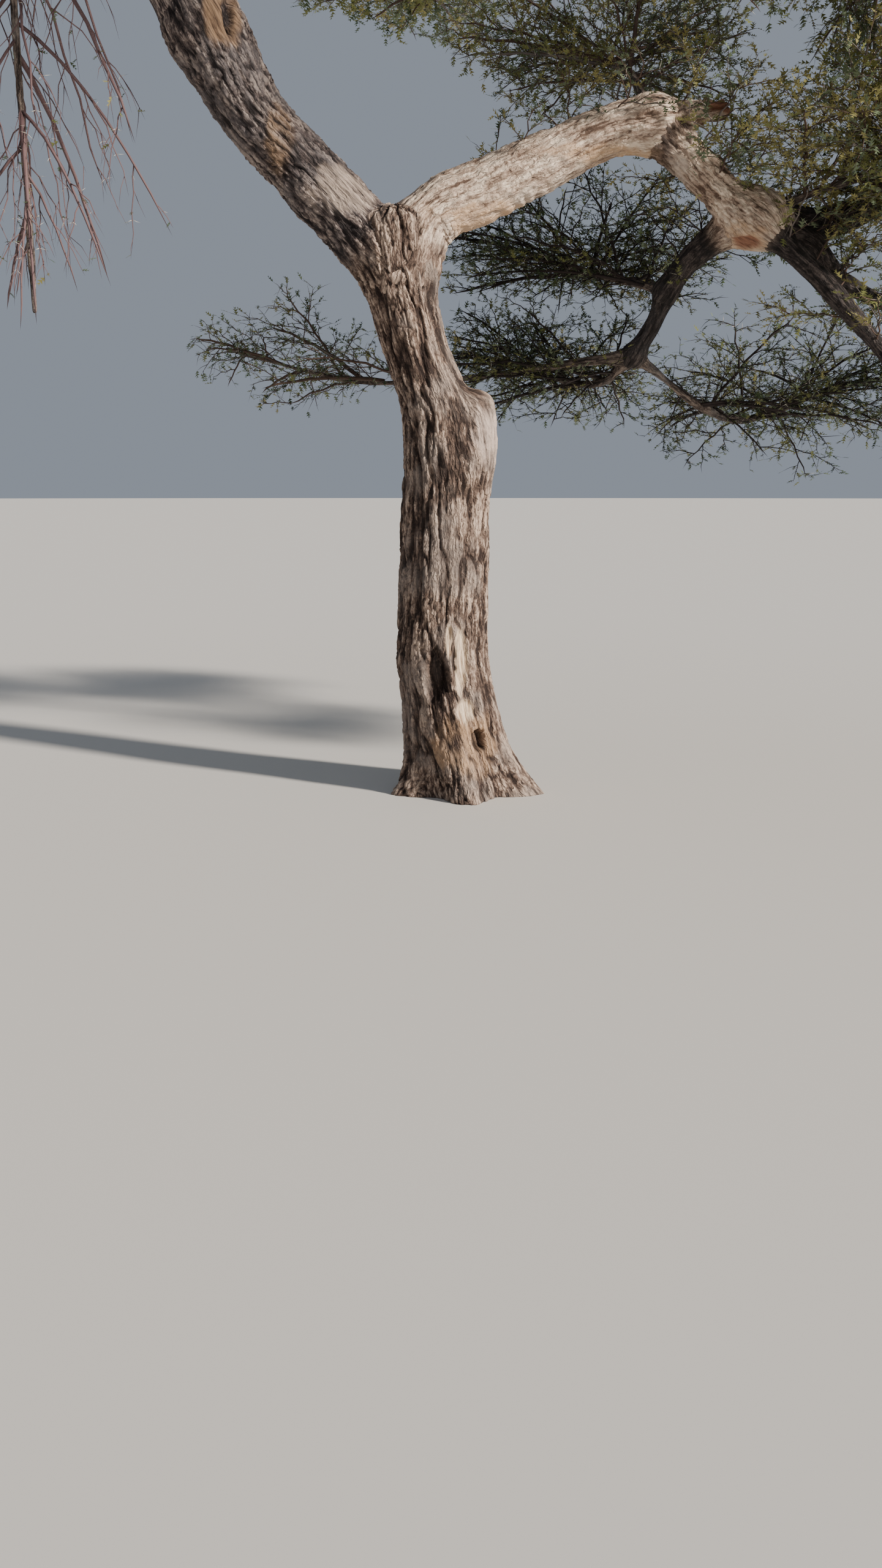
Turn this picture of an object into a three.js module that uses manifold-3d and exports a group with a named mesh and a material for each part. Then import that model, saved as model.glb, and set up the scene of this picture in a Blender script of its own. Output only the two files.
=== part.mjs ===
// An umbrella thorn acacia, whole: a leaning trunk with root flare, two great boughs from one fork,
// the limbs that they carry, and masses of fine foliage under a flat crown.
// Millimetres, +Z up. The origin is the middle of the flat cut at ground level.
// Azimuth 0 looks along +Y, with +X to the right.
import * as THREE from "three";
import { mergeVertices } from "three/addons/utils/BufferGeometryUtils.js";
import Module from "manifold-3d";

const wasm = await Module();
wasm.setup();

// Driving dimensions of the trunk
const TRUNK_SIDES = 16;
const TRUNK_RINGS = 10;
const TRUNK_TOP = 2880;
const RING_CROWDING = 1.5; // above 1, the trunk's rings are closer together near the ground
const ROOT_SPREAD_HEIGHT = 210; // height over which a buttress root dies away
const ROOT_WIDTH = 0.42; // half the angle that a buttress root takes, in radians
// Middle line and radius of the trunk at a few heights: height, x, y, radius
const TRUNK_LINE = [
  [0, 0, 0, 225],
  [700, -150, 10, 244],
  [1300, -134, 20, 229],
  [1650, -132, 20, 207],
  [2000, -168, 15, 190],
  [2350, -290, 5, 168],
  [2600, -345, 0, 168],
  [TRUNK_TOP, -380, 0, 190],
];
// Buttress roots: bearing in degrees from +X, and how far each stands out at the ground
const ROOTS = [
  { bearing: -12, out: 200 },
  { bearing: 62, out: 120 },
  { bearing: 128, out: 150 },
  { bearing: 194, out: 215 },
  { bearing: 268, out: 140 },
];

// Boughs and limbs. Each runs from its carrier's tip, or from its own start, through a few places to its tip.
// A fused one belongs to its carrier's body over its whole length.
const FORK = [-350, 0, 2620];
const LIMBS = [
  {
    name: "stump", // the healed stub of an old leader, on the trunk's right side
    carrier: "trunk",
    start: [-90, -20, 1540],
    through: [[30, -45, 1800], [58, -50, 2020]],
    radii: [110, 104, 74],
    sides: 10,
    fused: true,
  },
  {
    name: "bough_left",
    carrier: "trunk",
    start: FORK,
    through: [[-520, 0, 2830], [-850, -20, 3170], [-1070, -50, 3390], [-1275, -100, 3740]],
    radii: [160, 166, 155, 158, 190],
    sides: 12,
  },
  {
    name: "bough_right",
    carrier: "trunk",
    start: FORK,
    through: [[-215, 0, 2930], [60, 0, 3060], [470, 0, 3235], [690, 0, 3330], [885, 0, 3360]],
    radii: [160, 150, 138, 140, 122, 116],
    sides: 12,
  },
  {
    name: "dead_stub", // where the right bough broke off at its bend
    carrier: "bough_right",
    through: [[1215, 20, 3432]],
    radii: [80, 46],
    sides: 8,
    fused: true,
  },
  {
    name: "bough_right_outer",
    carrier: "bough_right",
    through: [[1030, 0, 3240], [1235, 0, 3055], [1390, 0, 2930]],
    radii: [112, 96, 98, 112],
    sides: 10,
  },
  {
    name: "limb_left",
    carrier: "bough_left",
    through: [[-1540, -130, 4120], [-1850, -80, 4480], [-2200, 0, 4850]],
    radii: [150, 112, 88],
    sides: 9,
  },
  {
    name: "limb_top",
    carrier: "bough_left",
    through: [[-1255, -20, 4140], [-1080, 120, 4520], [-780, 240, 4950]],
    radii: [140, 108, 84],
    sides: 9,
  },
  {
    name: "limb_right_up",
    carrier: "bough_right_outer",
    through: [[1830, 220, 2940], [2380, 400, 3280], [2850, 480, 4100]],
    radii: [88, 74, 62],
    sides: 6,
  },
  {
    name: "limb_under",
    carrier: "bough_right_outer",
    through: [[1250, 130, 2860], [1130, 270, 2760], [1050, 380, 2640]],
    radii: [92, 70, 52],
    sides: 6,
  },
  {
    name: "limb_under_low",
    carrier: "limb_under",
    through: [[1010, 460, 2500], [915, 560, 2330]],
    radii: [50, 36],
    sides: 6,
  },
  {
    name: "limb_right_low",
    carrier: "bough_right_outer",
    through: [[1600, -40, 2765], [1800, -60, 2580], [2160, -80, 2200]],
    radii: [56, 48, 36],
    sides: 6,
  },
  {
    name: "limb_right_mid",
    carrier: "bough_right_outer",
    through: [[1740, 80, 2830], [1900, 190, 2680], [2500, 260, 2430]],
    radii: [50, 42, 34],
    sides: 6,
  },
];
// The burl in which the right bough's outer part ends
const BURL = { carrier: "bough_right_outer", centre: new THREE.Vector3(1420, 0, 2925), radius: 128 };

// Driving dimensions of the crown
const CROWN_AXIS = new THREE.Vector3(-200, 300, 0);
const CROWN_TOP = 6500;
const CROWN_FALL = 7e-5; // drop of the canopy with the square of the distance from its axis, per mm
const CROWN_TILT = 0.1; // the canopy is lower on the right
// Limbs that spread under the umbrella: how far those of each carrier reach, and what carries each in turn
const UMBRELLA = { firstBearing: 15, below: 850, radii: [60, 46, 38], sag: 0.07 };
const UMBRELLA_REACH = { limb_right_up: 2650, limb_top: 2150, limb_left: 2450 };
const UMBRELLA_HALF = ["limb_right_up", "limb_top", "limb_left"];
const UMBRELLA_CARRIERS = [...UMBRELLA_HALF, ...UMBRELLA_HALF.toReversed()];
const CENTRE = { count: 3, firstBearing: 345, reach: 850, below: 850, radii: [54, 44, 36], sag: 0.1 };
// Rings of masses under the canopy
const OUTER = { count: 12, reach: 3600, size: [1180, 1180, 430], wave: 150 };
const INNER = { count: 6, firstBearing: 15, reach: 1750, size: [1080, 1080, 430], rise: 60 };
const TOP = { size: [980, 980, 420], rise: 120 };
// Masses below the umbrella: each one's carrier, middle, and half its size along X, Y and Z
const LOWER_MASSES = [
  { name: "bend_mass", carrier: "bough_right", middle: [760, 620, 3950], size: [820, 560, 430] },
  { name: "right_mass", carrier: "bough_right_outer", middle: [2050, -230, 3270], size: [820, 640, 400] },
  { name: "right_high_mass", carrier: "limb_right_up", middle: [3250, -420, 4250], size: [860, 760, 380] },
  { name: "right_low_mass", carrier: "limb_right_low", middle: [2950, -250, 2010], size: [880, 760, 400] },
  { name: "right_far_mass", carrier: "limb_right_mid", middle: [3420, 420, 2830], size: [940, 820, 420] },
  { name: "arch_mass", carrier: "limb_under", middle: [720, 1050, 2960], size: [860, 620, 340] },
  { name: "back_mass", carrier: "limb_under_low", middle: [560, 1060, 2380], size: [820, 640, 290] },
  { name: "far_left_mass", carrier: "limb_under_low", middle: [-900, 1250, 2440], size: [780, 620, 340] },
  { name: "under_right_mass", carrier: "limb_under_low", middle: [1900, 1250, 2260], size: [820, 700, 400] },
  { name: "hanging_left_mass", carrier: "limb_left", middle: [-2080, -420, 3420], size: [560, 480, 1120] },
  { name: "hanging_right_mass", carrier: "centre_limb_1", middle: [1880, 60, 4180], size: [560, 480, 780] },
];

// Driving dimensions of the joints and of the growth of a mass
const GAP = 0.3; // clear distance between pieces that meet
const SMOOTHED = 3; // a joined body's faces are made fewer within this distance
const PATH_STRETCHES = 40; // straight stretches that a limb's curve is followed by
const LIMB_STEP = 320; // length of limb to one ring of vertices
const COLLAR_MARGIN = 24; // how far a limb stands from its carrier and siblings where its own piece starts
const BALL_STEP = 50; // spacing of the balls that measure how near two limbs are
const CROSS_LAYER = 2.4; // how much more height counts than breadth where masses share their space
const CLEARANCE = 14; // least distance from a twig or leaf to another piece
const GOLDEN_ANGLE = THREE.MathUtils.degToRad(137.5);
// A stem bends and ends at shares of its mass's half size, outward from its carrier and upward
const STEM = {
  radii: [26, 10],
  steps: 4,
  bend: [-0.5, -0.62],
  end: [0.82, 0.05],
  hangFrom: 0.9,
  hangTo: -0.88,
};
// Twigs leave between two shares of the stem, at an angle to it in radians, pressed towards level
const TWIGS = {
  count: 6,
  between: [0.2, 0.98],
  open: [0.75, 1.2],
  level: 0.35,
  levelHanging: 0.8,
  lift: 0.08,
  arch: 0.07,
  radii: [12, 6],
  longest: 950,
  shortest: 320,
  fill: 0.94,
  roomStep: 40,
};
// Leaf sprays lean from their twig by an angle in radians, and are widest at a share of their length
const LEAVES = {
  perTwig: 3,
  between: [0.25, 0.97],
  lean: [0.8, 1.1],
  tilt: 0.7,
  length: 520,
  growth: [0.8, 1.2],
  width: 165,
  widest: 0.45,
  thickness: 11,
  root: 6,
  scales: [1, 0.7],
};

const UP = new THREE.Vector3(0, 0, 1);
const point = (x, y, z) => new THREE.Vector3(x, y, z);

// A number between two limits that belongs to its keys, so that the same twig always grows the same way
function chance(mass, twig, use, [low, high] = [0, 1]) {
  const turned = Math.sin(mass * 127.1 + twig * 311.7 + use * 74.7) * 43758.5453;
  return THREE.MathUtils.lerp(low, high, turned - Math.floor(turned));
}

// A closed three.js geometry as a solid
function solidOf(geometry) {
  geometry.deleteAttribute("normal");
  geometry.deleteAttribute("uv");
  const merged = mergeVertices(geometry, 1e-3);
  return new wasm.Manifold(
    new wasm.Mesh({
      numProp: 3,
      vertProperties: merged.attributes.position.array,
      triVerts: new Uint32Array(merged.index.array),
    }),
  );
}

// Moves each vertex of a geometry to where place(x, y, z) puts it
function reshape(geometry, place) {
  const position = geometry.attributes.position;
  for (let i = 0; i < position.count; i++) {
    const moved = place(position.getX(i), position.getY(i), position.getZ(i));
    position.setXYZ(i, moved.x, moved.y, moved.z);
  }
  return geometry;
}

// A curve from share `from` to its end as straight stretches, on which getPoint goes by length
function straightened(curve, count, from = 0) {
  const place = (k) => curve.getPoint(THREE.MathUtils.lerp(from, 1, k / count));
  const path = new THREE.CurvePath();
  for (let k = 0; k < count; k++) path.add(new THREE.LineCurve3(place(k), place(k + 1)));
  return path;
}

// The world axis that a path runs least along, from which its rings are turned
function steadyAxis(path) {
  const axes = [point(1, 0, 0), point(0, 1, 0), point(0, 0, 1)];
  const runs = axes.map((axis) =>
    Math.max(...[0.02, 0.25, 0.5, 0.75, 0.98].map((u) => Math.abs(path.getTangent(u).dot(axis)))),
  );
  return axes[runs.indexOf(Math.min(...runs))];
}

// Radius at share u of a limb, from evenly spaced radii
function radiusAt(radii, u) {
  const place = THREE.MathUtils.clamp(u, 0, 1) * (radii.length - 1);
  const k = Math.min(Math.floor(place), radii.length - 2);
  return THREE.MathUtils.lerp(radii[k], radii[k + 1], place - k);
}

// A tapering limb: a closed cylinder bent along a path, from share `from` to share `to` of it
function tube({ path, radii, sides, steps, from = 0, to = 1 }) {
  const axis = steadyAxis(path);
  const rings = Array.from({ length: steps + 1 }, (_, k) => {
    const u = THREE.MathUtils.lerp(from, to, k / steps);
    const tangent = path.getTangent(u);
    const across = new THREE.Vector3().crossVectors(tangent, axis).normalize();
    const other = new THREE.Vector3().crossVectors(across, tangent);
    return { centre: path.getPoint(u), across, other, radius: radiusAt(radii, u) };
  });
  return solidOf(
    reshape(new THREE.CylinderGeometry(1, 1, 1, sides, steps), (x, y, z) => {
      const ring = rings[Math.round((y + 0.5) * steps)];
      return ring.centre
        .clone()
        .addScaledVector(ring.across, x * ring.radius)
        .addScaledVector(ring.other, z * ring.radius);
    }),
  );
}

// Middle and radius of the trunk at a height
function trunkAt(height) {
  const k = Math.max(1, TRUNK_LINE.findIndex((row) => row[0] >= height));
  const [low, high] = [TRUNK_LINE[k - 1], TRUNK_LINE[k]];
  const share = (height - low[0]) / (high[0] - low[0]);
  const [x, y, radius] = [1, 2, 3].map((i) => THREE.MathUtils.lerp(low[i], high[i], share));
  return { centre: point(x, y, height), radius };
}

// How far the buttress roots stand out at a bearing and a height
function rootFlare(bearing, height) {
  const out = ROOTS.reduce((sum, root) => {
    const turn = bearing - THREE.MathUtils.degToRad(root.bearing);
    const away = Math.atan2(Math.sin(turn), Math.cos(turn)) / ROOT_WIDTH;
    return sum + root.out * Math.exp(-away * away);
  }, 0);
  return out * Math.exp(-height / ROOT_SPREAD_HEIGHT);
}

// The trunk's own body: level rings from the ground to the fork, closer together in the root flare
function trunkBody() {
  return solidOf(
    reshape(new THREE.CylinderGeometry(1, 1, 1, TRUNK_SIDES, TRUNK_RINGS), (x, y, z) => {
      const { centre, radius } = trunkAt(TRUNK_TOP * Math.pow(y + 0.5, RING_CROWDING));
      const bearing = Math.atan2(-z, x);
      const onRim = Math.hypot(x, z) > 0.5;
      const out = onRim ? radius + rootFlare(bearing, centre.z) : 0;
      return centre.add(point(out * Math.cos(bearing), out * Math.sin(bearing), 0));
    }),
  );
}

// A place at a bearing and a distance from the crown's axis, so far above the canopy's middle
function roundCrown(bearing, reach, above) {
  const angle = THREE.MathUtils.degToRad(bearing);
  const place = CROWN_AXIS.clone().add(point(reach * Math.cos(angle), reach * Math.sin(angle), 0));
  return place.setZ(CROWN_TOP - CROWN_FALL * reach * reach - CROWN_TILT * place.x + above);
}

// Everything that grows from a tip: limbs, and the stems of masses
const branches = new Map();
function grow({ name, carrier, start, through, radii, sides, fused = false }) {
  const first = start ? point(...start) : branches.get(carrier).tip;
  const places = [first, ...through.map((place) => (place.isVector3 ? place : point(...place)))];
  const path = straightened(new THREE.CatmullRomCurve3(places, false, "centripetal"), PATH_STRETCHES);
  const tip = places.at(-1);
  branches.set(name, { name, carrier, path, radii, sides, fused, tip, length: path.getLength() });
}

// A limb that sags a little between its carrier's tip and its own
function growSpreading(name, carrier, tip, { radii, sag }) {
  const start = branches.get(carrier).tip;
  const middle = start.clone().lerp(tip, 0.5).addScaledVector(UP, -sag * start.distanceTo(tip));
  grow({ name, carrier, through: [middle, tip], radii, sides: 6 });
}

// A mass and its stem, which rises into the mass's underside and runs on near to its far edge,
// or drops through the mass where that is taller than wide
const masses = [];
function growMass(name, carrier, middle, size) {
  const outward = middle.clone().sub(branches.get(carrier).tip).setZ(0).normalize();
  const reach = 1 / outward.clone().divide(size).length();
  const hangs = size.z > size.x;
  const along = ([out, rise]) => outward.clone().multiplyScalar(out * reach).setZ(rise * size.z);
  const bend = along(hangs ? [0, STEM.hangFrom] : STEM.bend);
  const end = along(hangs ? [0, STEM.hangTo] : STEM.end);
  masses.push({ name, middle, size, hangs });
  grow({ name, carrier, through: [bend.add(middle), end.add(middle)], radii: STEM.radii, sides: 3 });
}

LIMBS.forEach(grow);
const umbrellaTurn = 360 / UMBRELLA_CARRIERS.length;
UMBRELLA_CARRIERS.forEach((carrier, k) => {
  const tip = roundCrown(UMBRELLA.firstBearing + umbrellaTurn * k, UMBRELLA_REACH[carrier], -UMBRELLA.below);
  growSpreading(`umbrella_limb_${k + 1}`, carrier, tip, UMBRELLA);
});
for (let k = 0; k < CENTRE.count; k++) {
  const tip = roundCrown(CENTRE.firstBearing + (360 / CENTRE.count) * k, CENTRE.reach, -CENTRE.below);
  growSpreading(`centre_limb_${k + 1}`, "limb_top", tip, CENTRE);
}
for (let k = 0; k < OUTER.count; k++) {
  const bearing = (360 / OUTER.count) * k;
  const carrier = `umbrella_limb_${Math.floor(bearing / umbrellaTurn) + 1}`;
  const middle = roundCrown(bearing, OUTER.reach, -OUTER.wave * (k % 2));
  growMass(`outer_mass_${k + 1}`, carrier, middle, point(...OUTER.size));
}
for (let k = 0; k < INNER.count; k++) {
  const carrier = `centre_limb_${(Math.floor((k + 1) / 2) % CENTRE.count) + 1}`;
  const middle = roundCrown(INNER.firstBearing + (360 / INNER.count) * k, INNER.reach, INNER.rise);
  growMass(`inner_mass_${k + 1}`, carrier, middle, point(...INNER.size));
}
growMass("top_mass", "limb_top", roundCrown(0, 0, TOP.rise), point(...TOP.size));
for (const { name, carrier, middle, size } of LOWER_MASSES) {
  growMass(name, carrier, point(...middle), point(...size));
}

// A branch or the trunk as a chain of balls, for distances between them
function balls({ path, radii, length }) {
  const count = Math.ceil(length / BALL_STEP);
  return Array.from({ length: count + 1 }, (_, k) => ({
    centre: path.getPoint(k / count),
    radius: radiusAt(radii, k / count),
  }));
}
const trunkSteps = Math.floor(TRUNK_TOP / BALL_STEP);
const trunkBalls = Array.from({ length: trunkSteps }, (_, k) => trunkAt(TRUNK_TOP - BALL_STEP * k));

// How much of a branch, as a share, belongs to its carrier: as far as it lies against that or a sibling
function collar(branch) {
  if (branch.fused) return 1;
  const isNear = (other) => other.name === branch.carrier || other.carrier === branch.carrier;
  const near = [...branches.values()].filter((other) => other !== branch && isNear(other)).flatMap(balls);
  if (branch.carrier === "trunk") near.push(...trunkBalls);
  if (branch.carrier === BURL.carrier) near.push(BURL);
  const own = balls(branch);
  const last = own.findLastIndex((ball) =>
    near.some((other) => other.centre.distanceTo(ball.centre) < other.radius + ball.radius + COLLAR_MARGIN),
  );
  return (last + 1) / (own.length - 1);
}
for (const branch of branches.values()) branch.collar = collar(branch);

// What a carrier's body holds of the branches that grow from it
const collarsOf = (carrier) =>
  [...branches.values()]
    .filter((branch) => branch.carrier === carrier)
    .map((branch) => tube({ ...branch, to: branch.collar, steps: 2 }));

// A branch past its collar
const ownTube = (branch, steps) => tube({ ...branch, from: branch.collar + GAP / branch.length, steps });

function limbBody(limb) {
  const steps = Math.max(4, Math.round(limb.length / LIMB_STEP));
  const parts = [ownTube(limb, steps), ...collarsOf(limb.name)];
  if (limb.name === BURL.carrier) {
    parts.push(solidOf(new THREE.IcosahedronGeometry(BURL.radius, 1).translate(...BURL.centre)));
  }
  return wasm.Manifold.union(parts).simplify(SMOOTHED);
}

const trunk = wasm.Manifold.union([trunkBody(), ...collarsOf("trunk")]).simplify(SMOOTHED);
const limbs = [...branches.values()].filter((branch) => branch.sides > 3 && !branch.fused);
for (const limb of limbs) limb.solid = limbBody(limb);
for (const mass of masses) {
  const branch = branches.get(mass.name);
  mass.stem = ownTube(branch, STEM.steps);
  mass.spine = straightened(branch.path, STEM.steps, branch.collar);
}

// What twigs and leaves keep clear of, with each piece's box
const obstacles = [
  { name: "trunk", solid: trunk },
  ...limbs.map(({ name, solid }) => ({ name, solid })),
  ...masses.map(({ name, stem }) => ({ name, solid: stem })),
].map((each) => ({ ...each, box: each.solid.boundingBox() }));

// Distance between two places when height counts more, by which the masses share the space between them
function layered(a, b) {
  return Math.hypot(a.x - b.x, a.y - b.y, CROSS_LAYER * (a.z - b.z));
}

// True where a place is in a mass's own space: inside its ellipsoid and nearer to it than to any other mass
function inSpace(mass, place) {
  if (place.clone().sub(mass.middle).divide(mass.size).length() > 1) return false;
  const own = layered(place, mass.middle);
  return masses.every((other) => {
    if (other === mass) return true;
    const apart = layered(other.middle, mass.middle);
    return layered(place, other.middle) ** 2 - own ** 2 > 2 * CLEARANCE * CROSS_LAYER * apart;
  });
}

// True where a solid is clear of the trunk, of every limb, and of every stem but its own mass's
function isClear(mass, solid) {
  const { min, max } = solid.boundingBox();
  return obstacles.every(
    (other) =>
      other.name === mass.name ||
      [0, 1, 2].some((i) => min[i] > other.box.max[i] + CLEARANCE || max[i] < other.box.min[i] - CLEARANCE) ||
      solid.minGap(other.solid, CLEARANCE) >= CLEARANCE,
  );
}

// How far a direction stays in a mass's space, up to `longest`
function roomAlong(mass, from, direction, longest) {
  let room = 0;
  while (room < longest && inSpace(mass, from.clone().addScaledVector(direction, room + TWIGS.roomStep))) {
    room += TWIGS.roomStep;
  }
  return room;
}

// The way that a twig leaves its stem: turned round it by the golden angle, and pressed towards level
function twigDirection(mass, index, twig, tangent) {
  const pick = Math.abs(tangent.z) < 0.9 ? UP : point(1, 0, 0);
  const across = new THREE.Vector3().crossVectors(tangent, pick).normalize();
  const other = new THREE.Vector3().crossVectors(tangent, across);
  const turn = twig * GOLDEN_ANGLE + chance(index, 0, 9, [0, 2 * Math.PI]);
  const open = chance(index, twig, 2, TWIGS.open);
  const direction = tangent
    .clone()
    .multiplyScalar(Math.cos(open))
    .addScaledVector(across, Math.sin(open) * Math.cos(turn))
    .addScaledVector(other, Math.sin(open) * Math.sin(turn));
  direction.z = direction.z * (mass.hangs ? TWIGS.levelHanging : TWIGS.level) + TWIGS.lift;
  return direction.normalize();
}

// A leaf spray of eight faces, its root sunk past the middle of the twig that it grows on
function leafSpray(root, axis, across, scale) {
  const normal = new THREE.Vector3().crossVectors(axis, across).normalize();
  const level = new THREE.Vector3().crossVectors(normal, axis);
  const length = LEAVES.length * scale;
  const ahead = (x) => (x > 0.5 ? length : x < -0.5 ? -LEAVES.root : LEAVES.widest * length);
  return reshape(new THREE.OctahedronGeometry(1), (x, y, z) =>
    root
      .clone()
      .addScaledVector(axis, ahead(x))
      .addScaledVector(level, y * LEAVES.width * scale)
      .addScaledVector(normal, z * LEAVES.thickness),
  );
}

// True where every vertex of a geometry is in the mass's space
function keepsIn(mass, geometry) {
  const position = geometry.attributes.position;
  const vertex = (i) => new THREE.Vector3().fromBufferAttribute(position, i);
  return Array.from({ length: position.count }, (_, i) => vertex(i)).every((place) => inSpace(mass, place));
}

// Leaf sprays along one twig, to each side in turn, and one at its end.
// Where a full one has no room a smaller one is tried, and where that has none the place stays bare.
function leavesOn(mass, index, twig, path) {
  const made = [];
  for (let j = 0; j < LEAVES.perTwig; j++) {
    const share = THREE.MathUtils.lerp(...LEAVES.between, (j + 1) / LEAVES.perTwig);
    const tangent = path.getTangent(share);
    const side = new THREE.Vector3().crossVectors(tangent, UP).normalize();
    const turned = (j % 2 ? 1 : -1) * chance(index, twig, 20 + j, LEAVES.lean);
    const lean = j === LEAVES.perTwig - 1 ? 0 : turned;
    const axis = tangent.clone().multiplyScalar(Math.cos(lean)).addScaledVector(side, Math.sin(lean));
    const across = new THREE.Vector3().crossVectors(UP, axis).normalize();
    across.addScaledVector(UP, LEAVES.tilt * chance(index, twig, 30 + j, [-0.5, 0.5])).normalize();
    const growth = chance(index, twig, 40 + j, LEAVES.growth);
    for (const scale of LEAVES.scales) {
      const geometry = leafSpray(path.getPoint(share), axis, across, scale * growth);
      const leaf = keepsIn(mass, geometry) ? solidOf(geometry) : null;
      if (!leaf || !isClear(mass, leaf)) continue;
      made.push(leaf);
      break;
    }
  }
  return made;
}

// One mass: its stem, the twigs that branch from it, and their leaf sprays, joined
function massBody(mass, index) {
  const made = [mass.stem];
  for (let i = 0; i < TWIGS.count; i++) {
    const spread = (i + chance(index, i, 1, [0.2, 0.8])) / TWIGS.count;
    const share = THREE.MathUtils.lerp(...TWIGS.between, spread);
    const base = mass.spine.getPoint(share);
    if (!inSpace(mass, base)) continue;
    const direction = twigDirection(mass, index, i, mass.spine.getTangent(share));
    const room = TWIGS.fill * roomAlong(mass, base, direction, TWIGS.longest);
    if (room < TWIGS.shortest) continue;
    const end = base.clone().addScaledVector(direction, room);
    const rise = base.clone().lerp(end, 0.5).addScaledVector(UP, TWIGS.arch * room);
    const twigPath = straightened(new THREE.QuadraticBezierCurve3(base, rise, end), 2);
    const twig = tube({ path: twigPath, radii: TWIGS.radii, sides: 3, steps: 2 });
    if (isClear(mass, twig)) made.push(twig, ...leavesOn(mass, index, i, twigPath));
  }
  return wasm.Manifold.union(made).simplify(SMOOTHED);
}

// A solid as a named mesh, standing at its own anchor
function meshOf(name, solid, anchor, material) {
  const { vertProperties, triVerts } = solid.getMesh();
  const geometry = new THREE.BufferGeometry();
  geometry.setAttribute("position", new THREE.BufferAttribute(vertProperties, 3));
  geometry.setIndex(new THREE.BufferAttribute(triVerts, 1));
  geometry.translate(-anchor.x, -anchor.y, -anchor.z);
  geometry.computeVertexNormals();
  const mesh = new THREE.Mesh(geometry, material);
  mesh.name = name;
  mesh.position.copy(anchor);
  return mesh;
}

const bark = new THREE.MeshStandardMaterial({ color: 0x8a7f72, roughness: 0.95, metalness: 0 });
const youngBark = new THREE.MeshStandardMaterial({ color: 0x5d5046, roughness: 0.9, metalness: 0 });
const foliage = new THREE.MeshStandardMaterial({ color: 0x6b7448, roughness: 0.8, metalness: 0 });

const tree = new THREE.Group();
const wood = new THREE.Group();
const crown = new THREE.Group();
tree.add(wood, crown);
wood.add(meshOf("trunk", trunk, point(0, 0, 0), bark));
for (const limb of limbs) {
  wood.add(meshOf(limb.name, limb.solid, limb.path.getPoint(0), limb.sides > 8 ? bark : youngBark));
}
masses.forEach((mass, index) => {
  crown.add(meshOf(mass.name, massBody(mass, index), mass.spine.getPoint(0), foliage));
});

export default tree;
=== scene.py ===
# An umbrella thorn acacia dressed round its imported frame: bark skins, fine twigs, leaves and thorns.
# Metres, +Z up, the origin in the middle of the trunk's cut at ground level.
import itertools
import math

import bpy
import numpy as np
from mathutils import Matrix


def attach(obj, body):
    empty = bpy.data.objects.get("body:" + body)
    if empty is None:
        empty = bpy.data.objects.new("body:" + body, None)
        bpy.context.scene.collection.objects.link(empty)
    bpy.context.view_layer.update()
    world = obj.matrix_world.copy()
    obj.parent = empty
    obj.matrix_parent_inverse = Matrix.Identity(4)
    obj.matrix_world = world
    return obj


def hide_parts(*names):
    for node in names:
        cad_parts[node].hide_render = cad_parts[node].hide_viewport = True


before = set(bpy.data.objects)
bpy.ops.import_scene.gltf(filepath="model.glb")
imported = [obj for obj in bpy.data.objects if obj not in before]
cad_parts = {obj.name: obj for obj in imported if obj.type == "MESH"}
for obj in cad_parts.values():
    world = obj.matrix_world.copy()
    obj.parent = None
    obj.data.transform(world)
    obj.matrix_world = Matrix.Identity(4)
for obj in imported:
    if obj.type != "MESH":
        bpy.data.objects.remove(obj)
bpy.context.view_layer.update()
up = np.array([0.0, 0.0, 1.0])
goldenAngle = math.radians(137.5)
print("frame loaded:", len(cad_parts), "nodes")


# Numbers that belong to their keys

keyWeights = np.array([127.1, 311.7, 74.7])
useWeight = 53.3
sineScale = 43758.5453
keyStart, keyFactor, keyPrime = 40, 23, 7919  # these keep the keys of one twig's children from another's


# The fractional part of a large multiple of the sine of three keys' weighted sum, spread between two
# limits. The third key keeps one use of these numbers apart from another.
def chance(mass, twig, use, low=0.0, high=1.0):
    turned = np.sin(mass * keyWeights[0] + twig * keyWeights[1] + use * keyWeights[2]) * sineScale
    return low + (high - low) * (turned - np.floor(turned))


# A number from 0 to 1 for each whole cell of space, by the same rule
def cellNumber(cells, use):
    turned = np.sin(cells @ keyWeights + useWeight * use) * sineScale
    return turned - np.floor(turned)


def smoothStep(low, high, value):
    share = np.clip((value - low) / (high - low), 0, 1)
    return share * share * (3 - 2 * share)


# Soft noise from -1 to 1: the corner numbers of a unit cell, blended by eased distances
def softNoise(places, use=0):
    cell = np.floor(places)
    share = smoothStep(0, 1, places - cell)
    total = np.zeros(len(places))
    for corner in itertools.product((0, 1), repeat=3):
        weight = np.prod(np.where(corner, share, 1 - share), axis=1)
        total += weight * cellNumber(cell + corner, use)
    return total * 2 - 1


# Soft noise added to itself at half the size and half the height, a few times over
def roughNoise(places, octaves=3, use=0):
    return sum(softNoise(places * 2**k, use + k) / 2**k for k in range(octaves))


# Plates: one point is scattered in each unit cell. Gives how far a place is from the line between its
# nearest point and the next one, and a number that belongs to the nearest point.
def plates(places, use=0):
    cell = np.floor(places)
    nearest = np.full(len(places), 9.0)  # farther than any point can be
    second = nearest.copy()
    number = np.zeros(len(places))
    for step in itertools.product((-1, 0, 1), repeat=3):
        other = cell + step
        point = other + np.stack([cellNumber(other, use + k) for k in (1, 2, 3)], axis=1)
        away = np.linalg.norm(places - point, axis=1)
        closer = away < nearest
        second = np.where(closer, nearest, np.minimum(second, away))
        number = np.where(closer, cellNumber(other, use + 4), number)
        nearest = np.where(closer, away, nearest)
    return second - nearest, number


# Curves

def unit(vectors):
    return vectors / np.linalg.norm(vectors, axis=-1, keepdims=True)


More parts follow.
